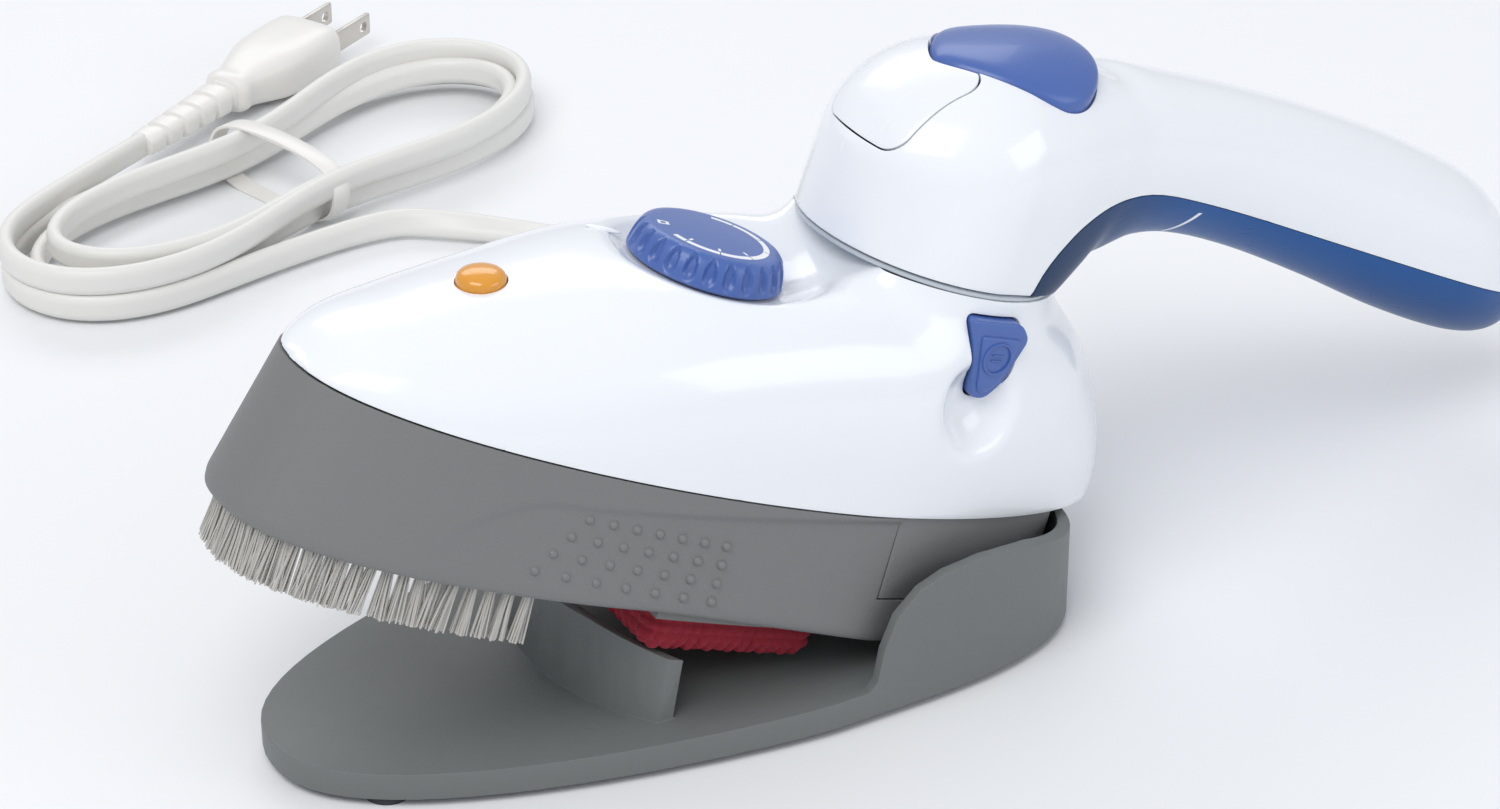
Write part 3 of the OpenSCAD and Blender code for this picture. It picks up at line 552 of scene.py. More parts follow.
def makeTie():
    # Flat band drawn snug round the middle of the hank
    across, along = [], tie["along"]
    for k in range(72):
        a = math.tau * k / 72
        across.append((bow(math.cos(a), 3.2) * tie["half"], tie["middle"] + bow(math.sin(a), 2.6) * tie["tall"]))
    across = evenly(across, 72, closed=True)
    rings = []
    for u, grow in ((-along, 0.0), (-along, 0.8), (-along + 0.3, 1.05), (0, 1.1), (along - 0.3, 1.05),
                    (along, 0.8), (along, 0.0)):
        ring = []
        for v, z in across:
            out = Vector((v, z - tie["middle"])).normalized()
            lean = tie["lean"] * (z - tie["middle"]) / tie["tall"]
            ring.append((u + lean, v + out.x * grow, max(z + out.y * grow, 0.15)))
        rings.append(ring)
    rings.append(rings[0])
    band = loft("hankTie", rings, capped=False)
    place = Matrix.Translation((hank["at"][0] * 0.001, hank["at"][1] * 0.001, 0))
    return settle(band, place @ Matrix.Rotation(math.radians(hank["turn"]), 4, "Z") @ Matrix.Scale(0.001, 4))


plug = {"at": (-38, 276.4, 7.2), "turn": 28.8, "bladeGap": 6.35, "ribs": 5}
onPlug = (Matrix.Translation(Vector(plug["at"]) * 0.001) @ Matrix.Rotation(math.radians(plug["turn"]), 4, "Z")
          @ Matrix.Scale(0.001, 4))


def makePlug():
    # Sections along the plug: place, width, height, squareness
    body = [(-2.4, 9.4, 7.6, 2.6), (-1.8, 12.2, 9.4, 2.6), (-0.6, 13.6, 10.4, 2.8), (1.0, 13.8, 10.6, 2.8),
            (2.2, 12.8, 10.2, 3), (4.5, 13.4, 10.6, 3), (9, 16.6, 12, 3.2), (14, 20, 13.4, 3.4),
            (19, 21.7, 13.9, 3.6), (25, 22, 13.9, 3.8), (31, 21.4, 13.7, 4), (34.3, 20.9, 13.4, 4),
            (35.4, 20.3, 12.8, 4), (35.9, 19.2, 11.7, 4)]
    relief = [(-36.4, 6.6, 4.6, 2.3), (-36.2, 7.4, 5.4, 2.4)]
    for i in range(plug["ribs"]):
        at, grow = -35.4 + 6.5 * i, i / plug["ribs"]
        wide, high = 7.8 + 2.6 * grow, 5.8 + 2.0 * grow
        relief += [(at, wide, high, 2.8), (at + 4.0, wide + 0.5, high + 0.4, 2.8),
                   (at + 4.3, wide - 1.7, high - 1.2, 2.6), (at + 6.1, wide - 1.5, high - 1.0, 2.6)]
    relief += [(-3.0, 9.8, 7.6, 2.8), (-0.5, 9.8, 7.6, 2.8)]
    parts = []
    for name, sections in (("plugShell", body), ("plugRelief", relief)):
        rings = []
        for x, w, h, n in sections:
            ring = [(x, bow(math.cos(a), n) * w / 2, bow(math.sin(a), n) * h / 2)
                    for a in np.linspace(0, math.tau, 240, endpoint=False)]
            rings.append(evenly(ring, 56, closed=True))
        parts.append(loft(name, rings))
    parts[0] = softEdges(parts[0], 0.5, 2, 30)
    return settle(joined("plugShell", parts), onPlug, 42)


def makeBlades():
    blades = []
    for side in (-1, 1):
        y = side * plug["bladeGap"]
        blade = block("plugBlade", (34.5, y - 0.75, -3.15), (53.5, y + 0.75, 3.15))
        pick(blade)
        useModifier(blade, "BEVEL", width=0.9, segments=2, limit_method="ANGLE", affect="EDGES",
                    angle_limit=math.radians(60))
        hole = tube("bladeHole", 1.5, y - 3, y + 3, 40)
        hole.data.transform(Matrix.Translation((50, 0, 0)) @ Matrix.Translation((0, y, 0))
                            @ Matrix.Rotation(math.radians(90), 4, "X") @ Matrix.Translation((0, 0, -y)))
        carve(blade, hole)
        blades.append(blade)
    return settle(joined("plugBlades", blades), onPlug, 35)


# Where the cord leaves the head, square to its side
leadPlace = Matrix.Translation((22, 0, 38)) @ Matrix.Rotation(math.radians(-90), 4, "X")


def makeGland():
    # Tapered strain relief with cut rings, leaving the head square to its side
    profile = [(0, 30), (6.2, 30), (6.4, 35.6), (6.0, 36.2)]
    for i in range(6):
        at, r = 37 + 3.6 * i, 5.6 - 0.30 * i
        profile += [(r, at), (r - 0.1, at + 2.2), (r - 0.9, at + 2.4), (r - 0.95, at + 3.4)]
    profile += [(3.9, 59.2), (3.5, 60), (0, 60)]
    gland = spun("strainRelief", profile, 48)
    return settle(gland, onHead @ leadPlace, 40)


mainsCord, cordLine, cordLength = makeCord()
hankTie, plugShell, plugBlades, strainRelief = makeTie(), makePlug(), makeBlades(), makeGland()
finishPiece(hankTie, plugVinyl, "base", ["cord_tie"])
finishPiece(plugShell, plugVinyl, "base", ["plug_body"])
finishPiece(plugBlades, bladeNickel, "base", ["plug_blades"])
finishPiece(strainRelief, plugVinyl, "head", ["cord_gland"])
finishPiece(mainsCord, cordVinyl, None, ["cord_run", "cord_hank"])
print("cord made, length", round(cordLength, 3), "m")


# White upper shell
head = {"half": 38, "front": 117, "rear": 77, "widest": -20, "seam": 24.5, "rise": 6.5, "wall": 2.2,
        "collarTop": 69.5, "collarLow": 31, "collarHigh": 28.4}
crown = [(-137, 31), (-128, 39.4), (-115, 45.3), (-97.5, 52.6), (-75, 59.8), (-50, 63.7),
         (-26, 66.3), (0, 68.5), (25, 67), (38, 60), (48, 47.5), (54, 36), (57, 25)]
squareness = [(-137, 2.1), (-97, 2.2), (-60, 3), (-20, 3.2), (20, 2.7), (57, 2.2)]
dialSeat = {"x": -51.7, "floor": 58.6, "radius": 18, "rise": 18 / 26}


def seamAt(x):
    return head["seam"] + head["rise"] * np.maximum(0, (head["widest"] - x) / head["front"]) ** 1.5


def sideAt(x, side, front, rear):
    ahead = np.maximum(0, 1 - np.maximum(0, (head["widest"] - x) / front) ** 2.3) ** (1 / 2.3)
    behind = np.maximum(0, 1 - np.maximum(0, (x - head["widest"]) / rear) ** 1.8) ** (1 / 2.6)
    return side * np.where(x < head["widest"], ahead, behind)


def softMin(a, b, reach):
    h = np.maximum(reach - np.abs(a - b), 0) / reach
    return np.minimum(a, b) - h * h * reach / 4


def shellSurface(p):
    # How far a point lies outside the moulded surface, dish, thumb scoop and collar included
    x, y, z = p.T
    w = np.maximum(sideAt(x, head["half"], head["front"], head["rear"]), 1)
    low = seamAt(x)
    high = np.maximum(smoothLine(crown, x) - low, 1)
    n = smoothLine(squareness, x)
    up = np.maximum(z - low, 0)
    g = np.maximum(((np.abs(y) / w) ** n + (up / high) ** n) ** (1 / n), 1e-3)
    body = (g - 1) / g * np.sqrt(y * y + up * up + 0.01)
    r = np.hypot(x, y)
    taper = (head["collarLow"] - head["collarHigh"]) / head["collarTop"]
    collar = np.maximum(r - (head["collarLow"] - taper * z), z - 76)
    outer = softMin(body, collar, 7)
    s = np.hypot(x - dialSeat["x"], y)
    floor = dialSeat["floor"] + np.maximum(s - dialSeat["radius"], 0) * dialSeat["rise"]
    dish = np.where(s > 46, -50, (z - floor) * np.where(s > dialSeat["radius"], 0.82, 1))
    outer = -softMin(-outer, -dish, 1.6)
    scoop = 11.5 - np.sqrt((x - 1) ** 2 + (y + 40) ** 2 + (z - 50) ** 2)
    return -softMin(-outer, -scoop, 2.2)


def drawOnto(points, surface, rounds=5, reach=3.0):
    # Moves points onto the surface along its slope
    points = points.copy()
    for _ in range(rounds):
        f = surface(points)
        slope = np.stack([(surface(points + e) - surface(points - e)) / 0.1 for e in np.eye(3) * 0.05], 1)
        size = np.maximum((slope ** 2).sum(1), 0.05)
        step = slope * np.clip(f / size, -reach, reach)[:, None]
        points -= step
    return points


def thinWalled(skin, edge):
    # Opens the cut faces, gives the skin its wall and eases the new edges
    dropCutFaces(skin)
    useModifier(skin, "SOLIDIFY", thickness=head["wall"], offset=-1, use_quality_normals=True,
                use_even_offset=False)
    softEdges(skin, edge, 2, 50)
    return settle(skin, onHead, 38)


def makeUpperShell():
    rings = []
    for x in np.concatenate([head["widest"] - head["front"] * 0.9995 * np.cos(np.radians(np.linspace(0, 90, 46))),
                             head["widest"] + head["rear"] * 0.9995 * np.sin(np.radians(np.linspace(3, 90, 30)))]):
        w = max(float(sideAt(x, head["half"], head["front"], head["rear"])), 1)
        low, high = float(seamAt(x)), float(smoothLine(crown, x))
        high = max(high, low + 1)
        a = np.linspace(0, math.pi, 90)
        n = float(smoothLine(squareness, x))
        arc = np.stack([np.full(90, x), w * bow(np.cos(a), n), low + (high - low) * bow(np.sin(a), n)], 1)
        rings.append(np.vstack([[(x, w, low - 3)], arc, [(x, -w, low - 3)]]))
    shell = loft("upperShell", rings)
    collar = tube("collarStub", head["collarHigh"] + 1, 40, 74, 96)
    carve(shell, collar, "UNION")
    useModifier(shell, "REMESH", mode="VOXEL", voxel_size=1.0)
    points = np.array([v.co for v in shell.data.vertices])
    keep = points[:, 2] > seamAt(points[:, 0]) - 2.2
    points[keep] = drawOnto(points[keep], shellSurface)
    for v, p in zip(shell.data.vertices, points):
        v.co = p
    markFaces(shell, 0)
    # Everything that comes off: the part under the seam, the swivel bore, and the holes
    outline = [(x, float(seamAt(x))) for x in np.linspace(-141, 60, 70)]
    under = slab("underCut", outline + [(60, 5), (-141, 5)], -60, 60, "Y")
    bore = spun("boreCut", [(0, 45), (21.4, 45), (21.4, head["collarTop"]), (60, head["collarTop"]),
                            (60, 90), (0, 90)], 96)
    lamp = tube("lampCut", 5.3, -9, 16, 56)
    lamp.data.transform(lampPlace)
    lock = slab("lockCut", grown(lockOutline, 0.55), -50, -20.5, "Y")
    lock.data.transform(lockPlace)
    lead = tube("leadCut", 5.3, 26, 56, 40)
    lead.data.transform(leadPlace)
    shaft = tube("shaftCut", 3.4, 50, 62, 40, at=(dialSeat["x"], 0))
    cutter = joined("shellCuts", [under, lamp, lock, lead, shaft])
    cutAway(shell, cutter)
    cutAway(shell, bore)
    return thinWalled(shell, 0.35)


def roundedOutline(corners, radius, parts=6):
    # Outline with its corners rounded by short curves
    made, count = [], len(corners)
    for i, corner in enumerate(corners):
        here = Vector(corner)
        before, after = Vector(corners[i - 1]), Vector(corners[(i + 1) % count])
        a = here + (before - here).normalized() * radius
        b = here + (after - here).normalized() * radius
        for k in range(parts + 1):
            t = k / parts
            made.append(tuple(a * (1 - t) ** 2 + here * (2 * t * (1 - t)) + b * t * t))
    return made


def grown(outline, by):
    # The same outline moved outwards by a set distance
    pts = np.asarray(outline, float)
    ahead = np.roll(pts, -1, axis=0) - np.roll(pts, 1, axis=0)
    out = np.stack([ahead[:, 1], -ahead[:, 0]], 1)
    out /= np.maximum(np.linalg.norm(out, axis=1), 1e-9)[:, None]
    area = (pts[:, 0] * np.roll(pts[:, 1], -1) - np.roll(pts[:, 0], -1) * pts[:, 1]).sum()
    return [tuple(p) for p in pts + out * by * (1 if area > 0 else -1)]


lampPlace = (Matrix.Translation((-99, 0, float(smoothLine(crown, -99)) - 8))
             @ Matrix.Rotation(math.radians(-19), 4, "Y"))
lockPlace = Matrix.Translation((1, 0, 58))
lockOutline = roundedOutline([(-7.2, 8.0), (5.6, 8.0), (8.3, 5.0), (5.3, -5.0), (2.2, -8.8), (-1.4, -8.8)], 1.6)

upperShell = finishPiece(makeUpperShell(), shellWhite, "head", ["upper_shell"])
print("upper shell made,", len(upperShell.data.polygons), "faces")


# Lamp, dial, lock button, swivel ring
def makeLamp():
    lens = spun("lampLens", [(0, 3), (6.3, 3), (6.3, 4.2), (5.0, 4.4), (5.0, 7.9), (4.85, 8.5), (4.3, 9.1),
                             (3.2, 9.6), (1.7, 9.9), (0, 10)], 64)
    return settle(lens, onHead @ lampPlace, 50)


dialFacts = {"radius": 16.4, "dimples": 24, "depth": 0.95}
onDial = onHead @ Matrix.Translation((dialSeat["x"], 0, dialSeat["floor"] + 0.6))


def makeDial():
    profile = [(0, 0), (dialFacts["radius"] - 0.5, 0), (dialFacts["radius"], 0.45)]
    profile += [(dialFacts["radius"] - 0.13 * z - 0.0085 * z * z * z / 2, z) for z in np.linspace(0.8, 5.4, 16)]
    profile += [(14.55, 6.0), (14.1, 6.45), (13.4, 6.72), (12.6, 6.82), (11.9, 6.84), (8, 7.02), (4, 7.12), (0, 7.15)]
    dial = spun("dialKnob", profile, 288)
    for v in dial.data.vertices:
        r, a = math.hypot(v.co.x, v.co.y), math.atan2(v.co.y, v.co.x)
        if r < 12 or not 0.6 < v.co.z < 6.6:
            continue
        step = math.tau / dialFacts["dimples"]
        off = (a / step - round(a / step)) * step * 15.5
        tall = (v.co.z - 3.7) / 2.75
        wide = 1.25 * (1 - 0.28 * tall)
        inside = 1 - (off / wide) ** 2 - tall ** 2
        if inside > 0:
            sink = dialFacts["depth"] * min(1, inside * 1.5) ** 0.7
            v.co.x, v.co.y = v.co.x * (r - sink) / r, v.co.y * (r - sink) / r
    return settle(dial, onDial, 35)


def dialMaterial():
    # Printed band, ticks and pointer, laid out in millimetres on the dial's own axes
    made = plastic("dialPrinted", (0.066, 0.135, 0.41), (0.05, 0.105, 0.35), 0.3, bump=0.08, coat=0.15)
    tree = made.node_tree
    shader = tree.nodes["Principled BSDF"]
    blue = shader.inputs["Base Color"].links[0].from_socket
    x, y, z = localAxes(tree, onDial.to_translation())
    radius = reckon(tree, "SQRT", reckon(tree, "ADD", reckon(tree, "MULTIPLY", x, x), reckon(tree, "MULTIPLY", y, y)))
    angle = reckon(tree, "ARCTAN2", y, x)

    def between(value, low, high):
        return reckon(tree, "MULTIPLY", reckon(tree, "GREATER_THAN", value, low),
                      reckon(tree, "LESS_THAN", value, high))

    # Band from the front round the near side to the rear, broken by thin gaps
    sweep = between(angle, math.radians(-168), math.radians(62))
    band = reckon(tree, "MULTIPLY", between(radius, 10.4, 11.7), sweep)
    beat = reckon(tree, "ABSOLUTE", reckon(tree, "WRAP", angle, math.radians(19), math.radians(-19)))
    band = reckon(tree, "MULTIPLY", band, reckon(tree, "GREATER_THAN", beat, 0.012))
    ticks = reckon(tree, "MULTIPLY", between(radius, 8.6, 9.9), between(beat, -1, 0.03))
    ticks = reckon(tree, "MULTIPLY", ticks, between(angle, math.radians(-172), math.radians(-60)))
    off = reckon(tree, "ABSOLUTE", reckon(tree, "SUBTRACT", angle, math.radians(160)))
    mark = reckon(tree, "MULTIPLY", between(radius, 9.6, 12.0), reckon(tree, "LESS_THAN", off, 0.09))
    core = reckon(tree, "MULTIPLY", between(radius, 10.3, 11.4), reckon(tree, "LESS_THAN", off, 0.05))
    mark = reckon(tree, "SUBTRACT", mark, core)
    printed = reckon(tree, "MAXIMUM", reckon(tree, "MAXIMUM", band, ticks), mark)
    printed = reckon(tree, "MULTIPLY", printed, reckon(tree, "GREATER_THAN", z, 6.3))
    tree.links.new(mixed(tree, printed, blue, (0.86, 0.88, 0.9)), shader.inputs["Base Color"])
    return made


def lampMaterial():
    return plastic("lampAmber", (0.80, 0.36, 0.035), (0.62, 0.25, 0.02), 0.16, grain=1400.0, bump=0.35, coat=0.5,
                   amount=0.8, **{"Subsurface Weight": 0.25, "Subsurface Radius": (0.004, 0.002, 0.0006)})


def makeLock():
    # Shield-shaped push button with a raised plate, a ring and two bars
    body = slab("lockButton", lockOutline, -31.2, -24.1, "Y")
    softEdges(body, 0.55, 3, 50)
    plate = slab("lockPlate", roundedOutline([(-4.2, 5.0), (6.0, 5.0), (4.0, -4.6), (1.4, -7.2), (-0.8, -7.2)], 1.1),
                 -31.9, -28, "Y")
    softEdges(plate, 0.5, 3, 50)
    ring = spun("lockRing", [(3.0, 0), (3.1, 0.45), (3.3, 0.52), (3.5, 0.45), (3.6, 0), (3.3, -0.6), (3.0, 0)], 56)
    ring.data.transform(Matrix.Translation((1.0, -31.9, 0.6)) @ Matrix.Rotation(math.radians(90), 4, "X"))
    bars = []
    for z in (1.3, 0.1):
        bar = block("lockBar", (-0.5, -32.25, z - 0.2), (2.5, -31, z + 0.2))
        bars.append(softEdges(bar, 0.14, 2, 50))
    lock = joined("lockButton", [body, plate, ring, *bars])
    return settle(lock, onHead @ lockPlace, 40)


def makeSwivelRing():
    top = head["collarTop"] + 0.04
    ring = spun("swivelRing", [(16.06, 58), (21.3, 58), (21.3, top), (27.6, top), (27.95, top + 0.12),
                               (28.05, top + 0.35), (28.0, top + 0.75), (27.7, top + 0.95), (16.06, top + 0.95),
                               (16.06, 58)], 128)
    return settle(ring, onHead, 40)


def makePointer():
    # Raised lens shape on the shell that the dial is read against
    turn, reach = math.radians(146), 21.5
    spot = np.array([[dialSeat["x"] + reach * math.cos(turn), reach * math.sin(turn), 62.0]])
    x, y, z = drawOnto(spot, shellSurface)[0]
    deselectAll()
    bpy.ops.mesh.primitive_uv_sphere_add(segments=40, ring_count=20, radius=1)
    mark = added("dialPointer")
    mark.data.transform(Matrix.Translation((x, y, z - 0.05)) @ Matrix.Rotation(math.radians(-6), 4, "Y")
                        @ Matrix.Rotation(turn, 4, "Z") @ Matrix.Diagonal((3.7, 0.85, 0.5, 1)))
    return settle(mark, onHead, 60)


finishPiece(makePointer(), shellWhite, "head", [])
finishPiece(makeLamp(), lampMaterial(), "head", ["lamp_lens"])
finishPiece(makeDial(), dialMaterial(), "knob", ["dial"])
finishPiece(makeLock(), controlBlue, "lock", ["lock_button"])
finishPiece(makeSwivelRing(), seamSilver, "head", ["swivel_ring"])
print("controls made")


# Handle, tank, trigger and filler lid
handleTop = [(-28.4, 90), (-24, 99), (-16, 107.5), (-4, 112.8), (12, 114.5), (40, 114), (70, 113), (100, 110.3),
             (125, 106.2), (142, 101.5), (154, 93.5), (162, 84), (166, 74)]
handleLow = [(24, 71), (32, 73.5), (42, 78.5), (55, 80.5), (75, 79), (100, 74.5), (125, 69), (145, 66),
             (156, 66), (163, 68.5), (166, 72)]
handleSide = [(0, 28.4), (12, 26.6), (24, 23), (36, 19.6), (50, 17.4), (70, 15.6), (100, 15), (140, 15),
              (154, 12.6), (162, 8.6), (166, 3)]
tankLine = [(9, 70), (10.5, 76), (14, 82), (19, 87), (27, 91.3), (38, 93.2), (52, 92.3), (100, 86), (150, 79.8),
            (170, 77.5)]
pod = {"radius": 28.4, "low": 71.0, "thumb": (29.5, 5.5, 9.5, 1.7)}
trigger = {"at": 8, "front": 21, "rear": 13.4, "half": 19}


def handleSection(x):
    w = math.sqrt(max(pod["radius"] ** 2 - x * x, 0.01)) if x < 0 else float(smoothLine(handleSide, x))
    high = float(smoothLine(handleTop, x))
    low = pod["low"] if x < 24 else float(smoothLine(handleLow, x))
    share = float(ease((30 - x) / 22))
    mid = (1 - share) * (high + low) / 2 + share * min(88, high - 2)
    return max(w, 0.1), low - 9 * share, mid, high, 2.3 + 5 * share


def handleRing(x, count=132):
    w, low, mid, high, square = handleSection(x)
    a = np.linspace(0, math.tau, 480, endpoint=False)
    s = np.sin(a)
    y = np.where(s >= 0, w * bow(np.cos(a), 2.3), w * bow(np.cos(a), square))
    z = np.where(s >= 0, mid + max(high - mid, 0.05) * bow(s, 2.3), mid + max(mid - low, 0.05) * bow(s, square))
    ring = evenly(np.stack([np.full(480, x), y, z], 1), count, closed=True)
    at, long, wide, deep = pod["thumb"]  # thumb hollow behind the trigger
    sink = deep * np.exp(-((x - at) / long) ** 2 - (ring[:, 1] / wide) ** 2)
    ring[:, 2] -= sink * (ring[:, 2] > mid)
    return ring


def handleHeight(x, y):
    w, _, mid, high, _ = handleSection(x)
    return mid + (high - mid) * max(0.0, 1 - min(1, abs(y) / w) ** 2.3) ** (1 / 2.3)


def makeHandleForm(name):
    places = np.concatenate([-pod["radius"] * 0.9998 * np.cos(np.radians(np.linspace(0, 88, 40))),
                             np.linspace(0, 131, 88), 132.5 + 33.4 * np.sin(np.radians(np.linspace(0, 90, 26)))])
    form = loft(name, [handleRing(float(x)) for x in places])
    markFaces(form, 0)
    foot = block("podFoot", (-45, -60, 40), (190, 60, pod["low"]))
    markFaces(foot, 0)
    notch = block("notch", (32, -61, 39), (191, 61, 73))
    carve(foot, notch)
    carve(form, foot)
    return form


def leafOutline(grow, count=120):
    outline = []
    for k in range(count):
        a = math.tau * k / count
        c, s = math.cos(a), math.sin(a)
        ahead = c < 0
        outline.append((trigger["at"] + (trigger["front"] + grow if ahead else trigger["rear"] + grow)
                        * bow(c, 1.6 if ahead else 2.2), (trigger["half"] + grow) * bow(s, 1.5 if ahead else 2.2)))
    return outline


def lidCutter(grow):
    cutter = block("lidBox", (-42, -13 - grow, 92 - grow), (-9 + grow, 13 + grow, 135))
    mesh = bmesh.new()
    mesh.from_mesh(cutter.data)
    low = [e for e in mesh.edges if all(v.co.z < 93 for v in e.verts) and abs(e.verts[0].co.y - e.verts[1].co.y) < 1]
    low += [e for e in mesh.edges
            if all(v.co.x > -10 for v in e.verts) and abs(e.verts[0].co.z - e.verts[1].co.z) > 9]
    bmesh.ops.bevel(mesh, geom=low, offset=4.5, segments=8, profile=0.5, affect="EDGES")
    mesh.to_mesh(cutter.data)
    mesh.free()
    tidyNormals(cutter)
    carve(cutter, slab("leafCut", leafOutline(0.75 - grow), 60, 140))
    markFaces(cutter, 1)
    return cutter


def makeHandleShell():
    shell = makeHandleForm("handleShell")
    raised = [(x - 0.2, z + 0.22) for x, z in splinedFlat(tankLine)]
    under = slab("tankCut", [(-45, 40), (-45, 71.1), (raised[0][0], 71.1)] + [p for p in raised if p[1] > 71.2]
                 + [(190, 77), (190, 40)], -60, 60, "Y")
    leaf = slab("leafHole", leafOutline(0.45), 91, 140)
    for cutter in (under, leaf):
        cutAway(shell, cutter)
    carve(shell, lidCutter(0.35))
    return thinWalled(shell, 0.3)


def splinedFlat(knots, count=90):
    x = np.concatenate([np.linspace(9, 30, 50), np.linspace(30.5, 170, count - 50)])
    return [(float(a), float(b)) for a, b in zip(x, smoothLine(knots, x))]


def makeTank():
    tank = makeHandleForm("waterTank")
    line = splinedFlat(tankLine)
    under = slab("tankKeep", [(line[0][0], 40)] + line + [(190, 77), (190, 40)], -60, 60, "Y")
    markFaces(under, 0)
    carve(tank, under, "INTERSECT")
    dropCutFaces(tank)
    softEdges(tank, 0.35, 2, 45)
    return settle(tank, onHead, 38)


def makeLid():
    lid = makeHandleForm("fillerLid")
    carve(lid, lidCutter(0), "INTERSECT")
    return thinWalled(lid, 0.35)


def makeTrigger():
    # Leaf-shaped cap drawn over the handle, thicker at its thumb end, with a rolled edge
    edge = [(0.06, 0), (0.2, 0), (0.35, 0), (0.5, 0), (0.65, 0), (0.78, 0), (0.87, -0.02), (0.925, -0.1),
            (0.958, -0.26), (0.98, -0.52), (0.993, -0.9), (1.0, -1.4), (1.0, -2.6), (0.998, -4.6)]
    outline = np.array(leafOutline(0, 144))
    middle = np.array([trigger["at"], 0.0])
    rings = []
    for share, drop in edge:
        ring = []
        for p in outline:
            x, y = middle + (p - middle) * share
            swell = 0.75 + 2.3 * float(ease((x + 6) / 26)) + 0.5 * (1 - share * share)
            ring.append((x, y, handleHeight(float(x), float(y)) + swell + drop))
        rings.append(ring)
    cap = loft("steamTrigger", rings[::-1])
    return settle(cap, onHead, 50)


def tankMaterial():
    # Deep blue moulding with painted shade darkening it towards the neck and along its lower edge, and a printed
    # level line
    made = plastic("tankBlue", (0.007, 0.085, 0.30), (0.005, 0.06, 0.22), 0.26, bump=0.02, amount=0.4,
                   **{"Specular IOR Level": 0.3})
    tree = made.node_tree
    shader = tree.nodes["Principled BSDF"]
    blue = shader.inputs["Base Color"].links[0].from_socket
    x, _, z = localAxes(tree, headOrigin)
    neckShade = put(tree, "MapRange", {"Value": x, "From Min": 58.0, "From Max": 14.0, "To Min": 0.0, "To Max": 1.0},
               interpolation_type="SMOOTHSTEP").outputs[0]
    depth = put(tree, "MapRange", {"Value": z, "From Min": 84.0, "From Max": 66.0, "To Min": 0.0, "To Max": 1.0},
                interpolation_type="SMOOTHSTEP").outputs[0]
    # Painted shade: the lower edge and the neck are mixed towards dark blue
    colour = mixed(tree, reckon(tree, "MULTIPLY", depth, 0.55), blue, (0.008, 0.035, 0.12))
    colour = mixed(tree, reckon(tree, "MULTIPLY", neckShade, 0.8), colour, (0.004, 0.022, 0.062))
    lean = reckon(tree, "SUBTRACT", x, reckon(tree, "MULTIPLY", reckon(tree, "SUBTRACT", z, 86.0), 0.55))
    line = reckon(tree, "LESS_THAN", reckon(tree, "ABSOLUTE", reckon(tree, "SUBTRACT", lean, 53.5)), 0.55)
    rise = reckon(tree, "ABSOLUTE", reckon(tree, "SUBTRACT", z, 86.2))
    line = reckon(tree, "MULTIPLY", line, reckon(tree, "LESS_THAN", rise, 3.4))
    colour = mixed(tree, line, colour, (0.8, 0.84, 0.88))
    tree.links.new(colour, shader.inputs["Base Color"])
    return made


finishPiece(makeHandleShell(), shellWhite, "handle", ["handle_shell"])
finishPiece(makeTank(), tankMaterial(), "handle", ["water_tank"])
finishPiece(makeLid(), lidWhite, "lid", ["filler_lid"])
finishPiece(makeTrigger(), controlBlue, "trigger", ["steam_trigger"])
print("handle made")


# Brush frame with its studs and bristles
brush = {"half": 40.5, "front": 125, "end": -12, "tail": 2.6, "step": 6.2, "lip": 9.0, "wall": 2.2, "gap": 0.4,
         "recess": 0.8, "rearLow": 90, "rearHigh": 80, "topFront": head["front"] + 0.5}


def ringPoint(a, side, front, rear):
    c, s = math.cos(a), math.sin(a)
    long = front * bow(c, 2.3) if c < 0 else rear * bow(c, 1.8)
    return head["widest"] + long, side * bow(s, 2.3 if c < 0 else 2.6)


def skirtLow(x):
    return -3.4 * np.clip((x + 68) / 58, 0, 1) ** 1.4


def gripLine(x):
    # Height of the curved crease that bounds the grip panel
    rise = 1 - np.clip((-84.0 - x) / 31.0, 0, 1) ** 2.6
    return 3.5 + 16.2 * rise + np.clip(x + 84, 0, 72) * 0.05


def outlinePoints(side, front, rear, count):
    # Points round the open end of the plan, from the rear of one side to the rear of the other
    a = np.radians(np.linspace(50, 310, 1800))
    pts = np.array([ringPoint(float(t), side, front, rear) for t in a])
    pts = pts[pts[:, 0] <= brush["tail"]]
    pts[0, 0], pts[-1, 0] = brush["tail"], brush["tail"]
    return evenly(np.column_stack([pts, np.zeros(len(pts))]), count)[:, :2]


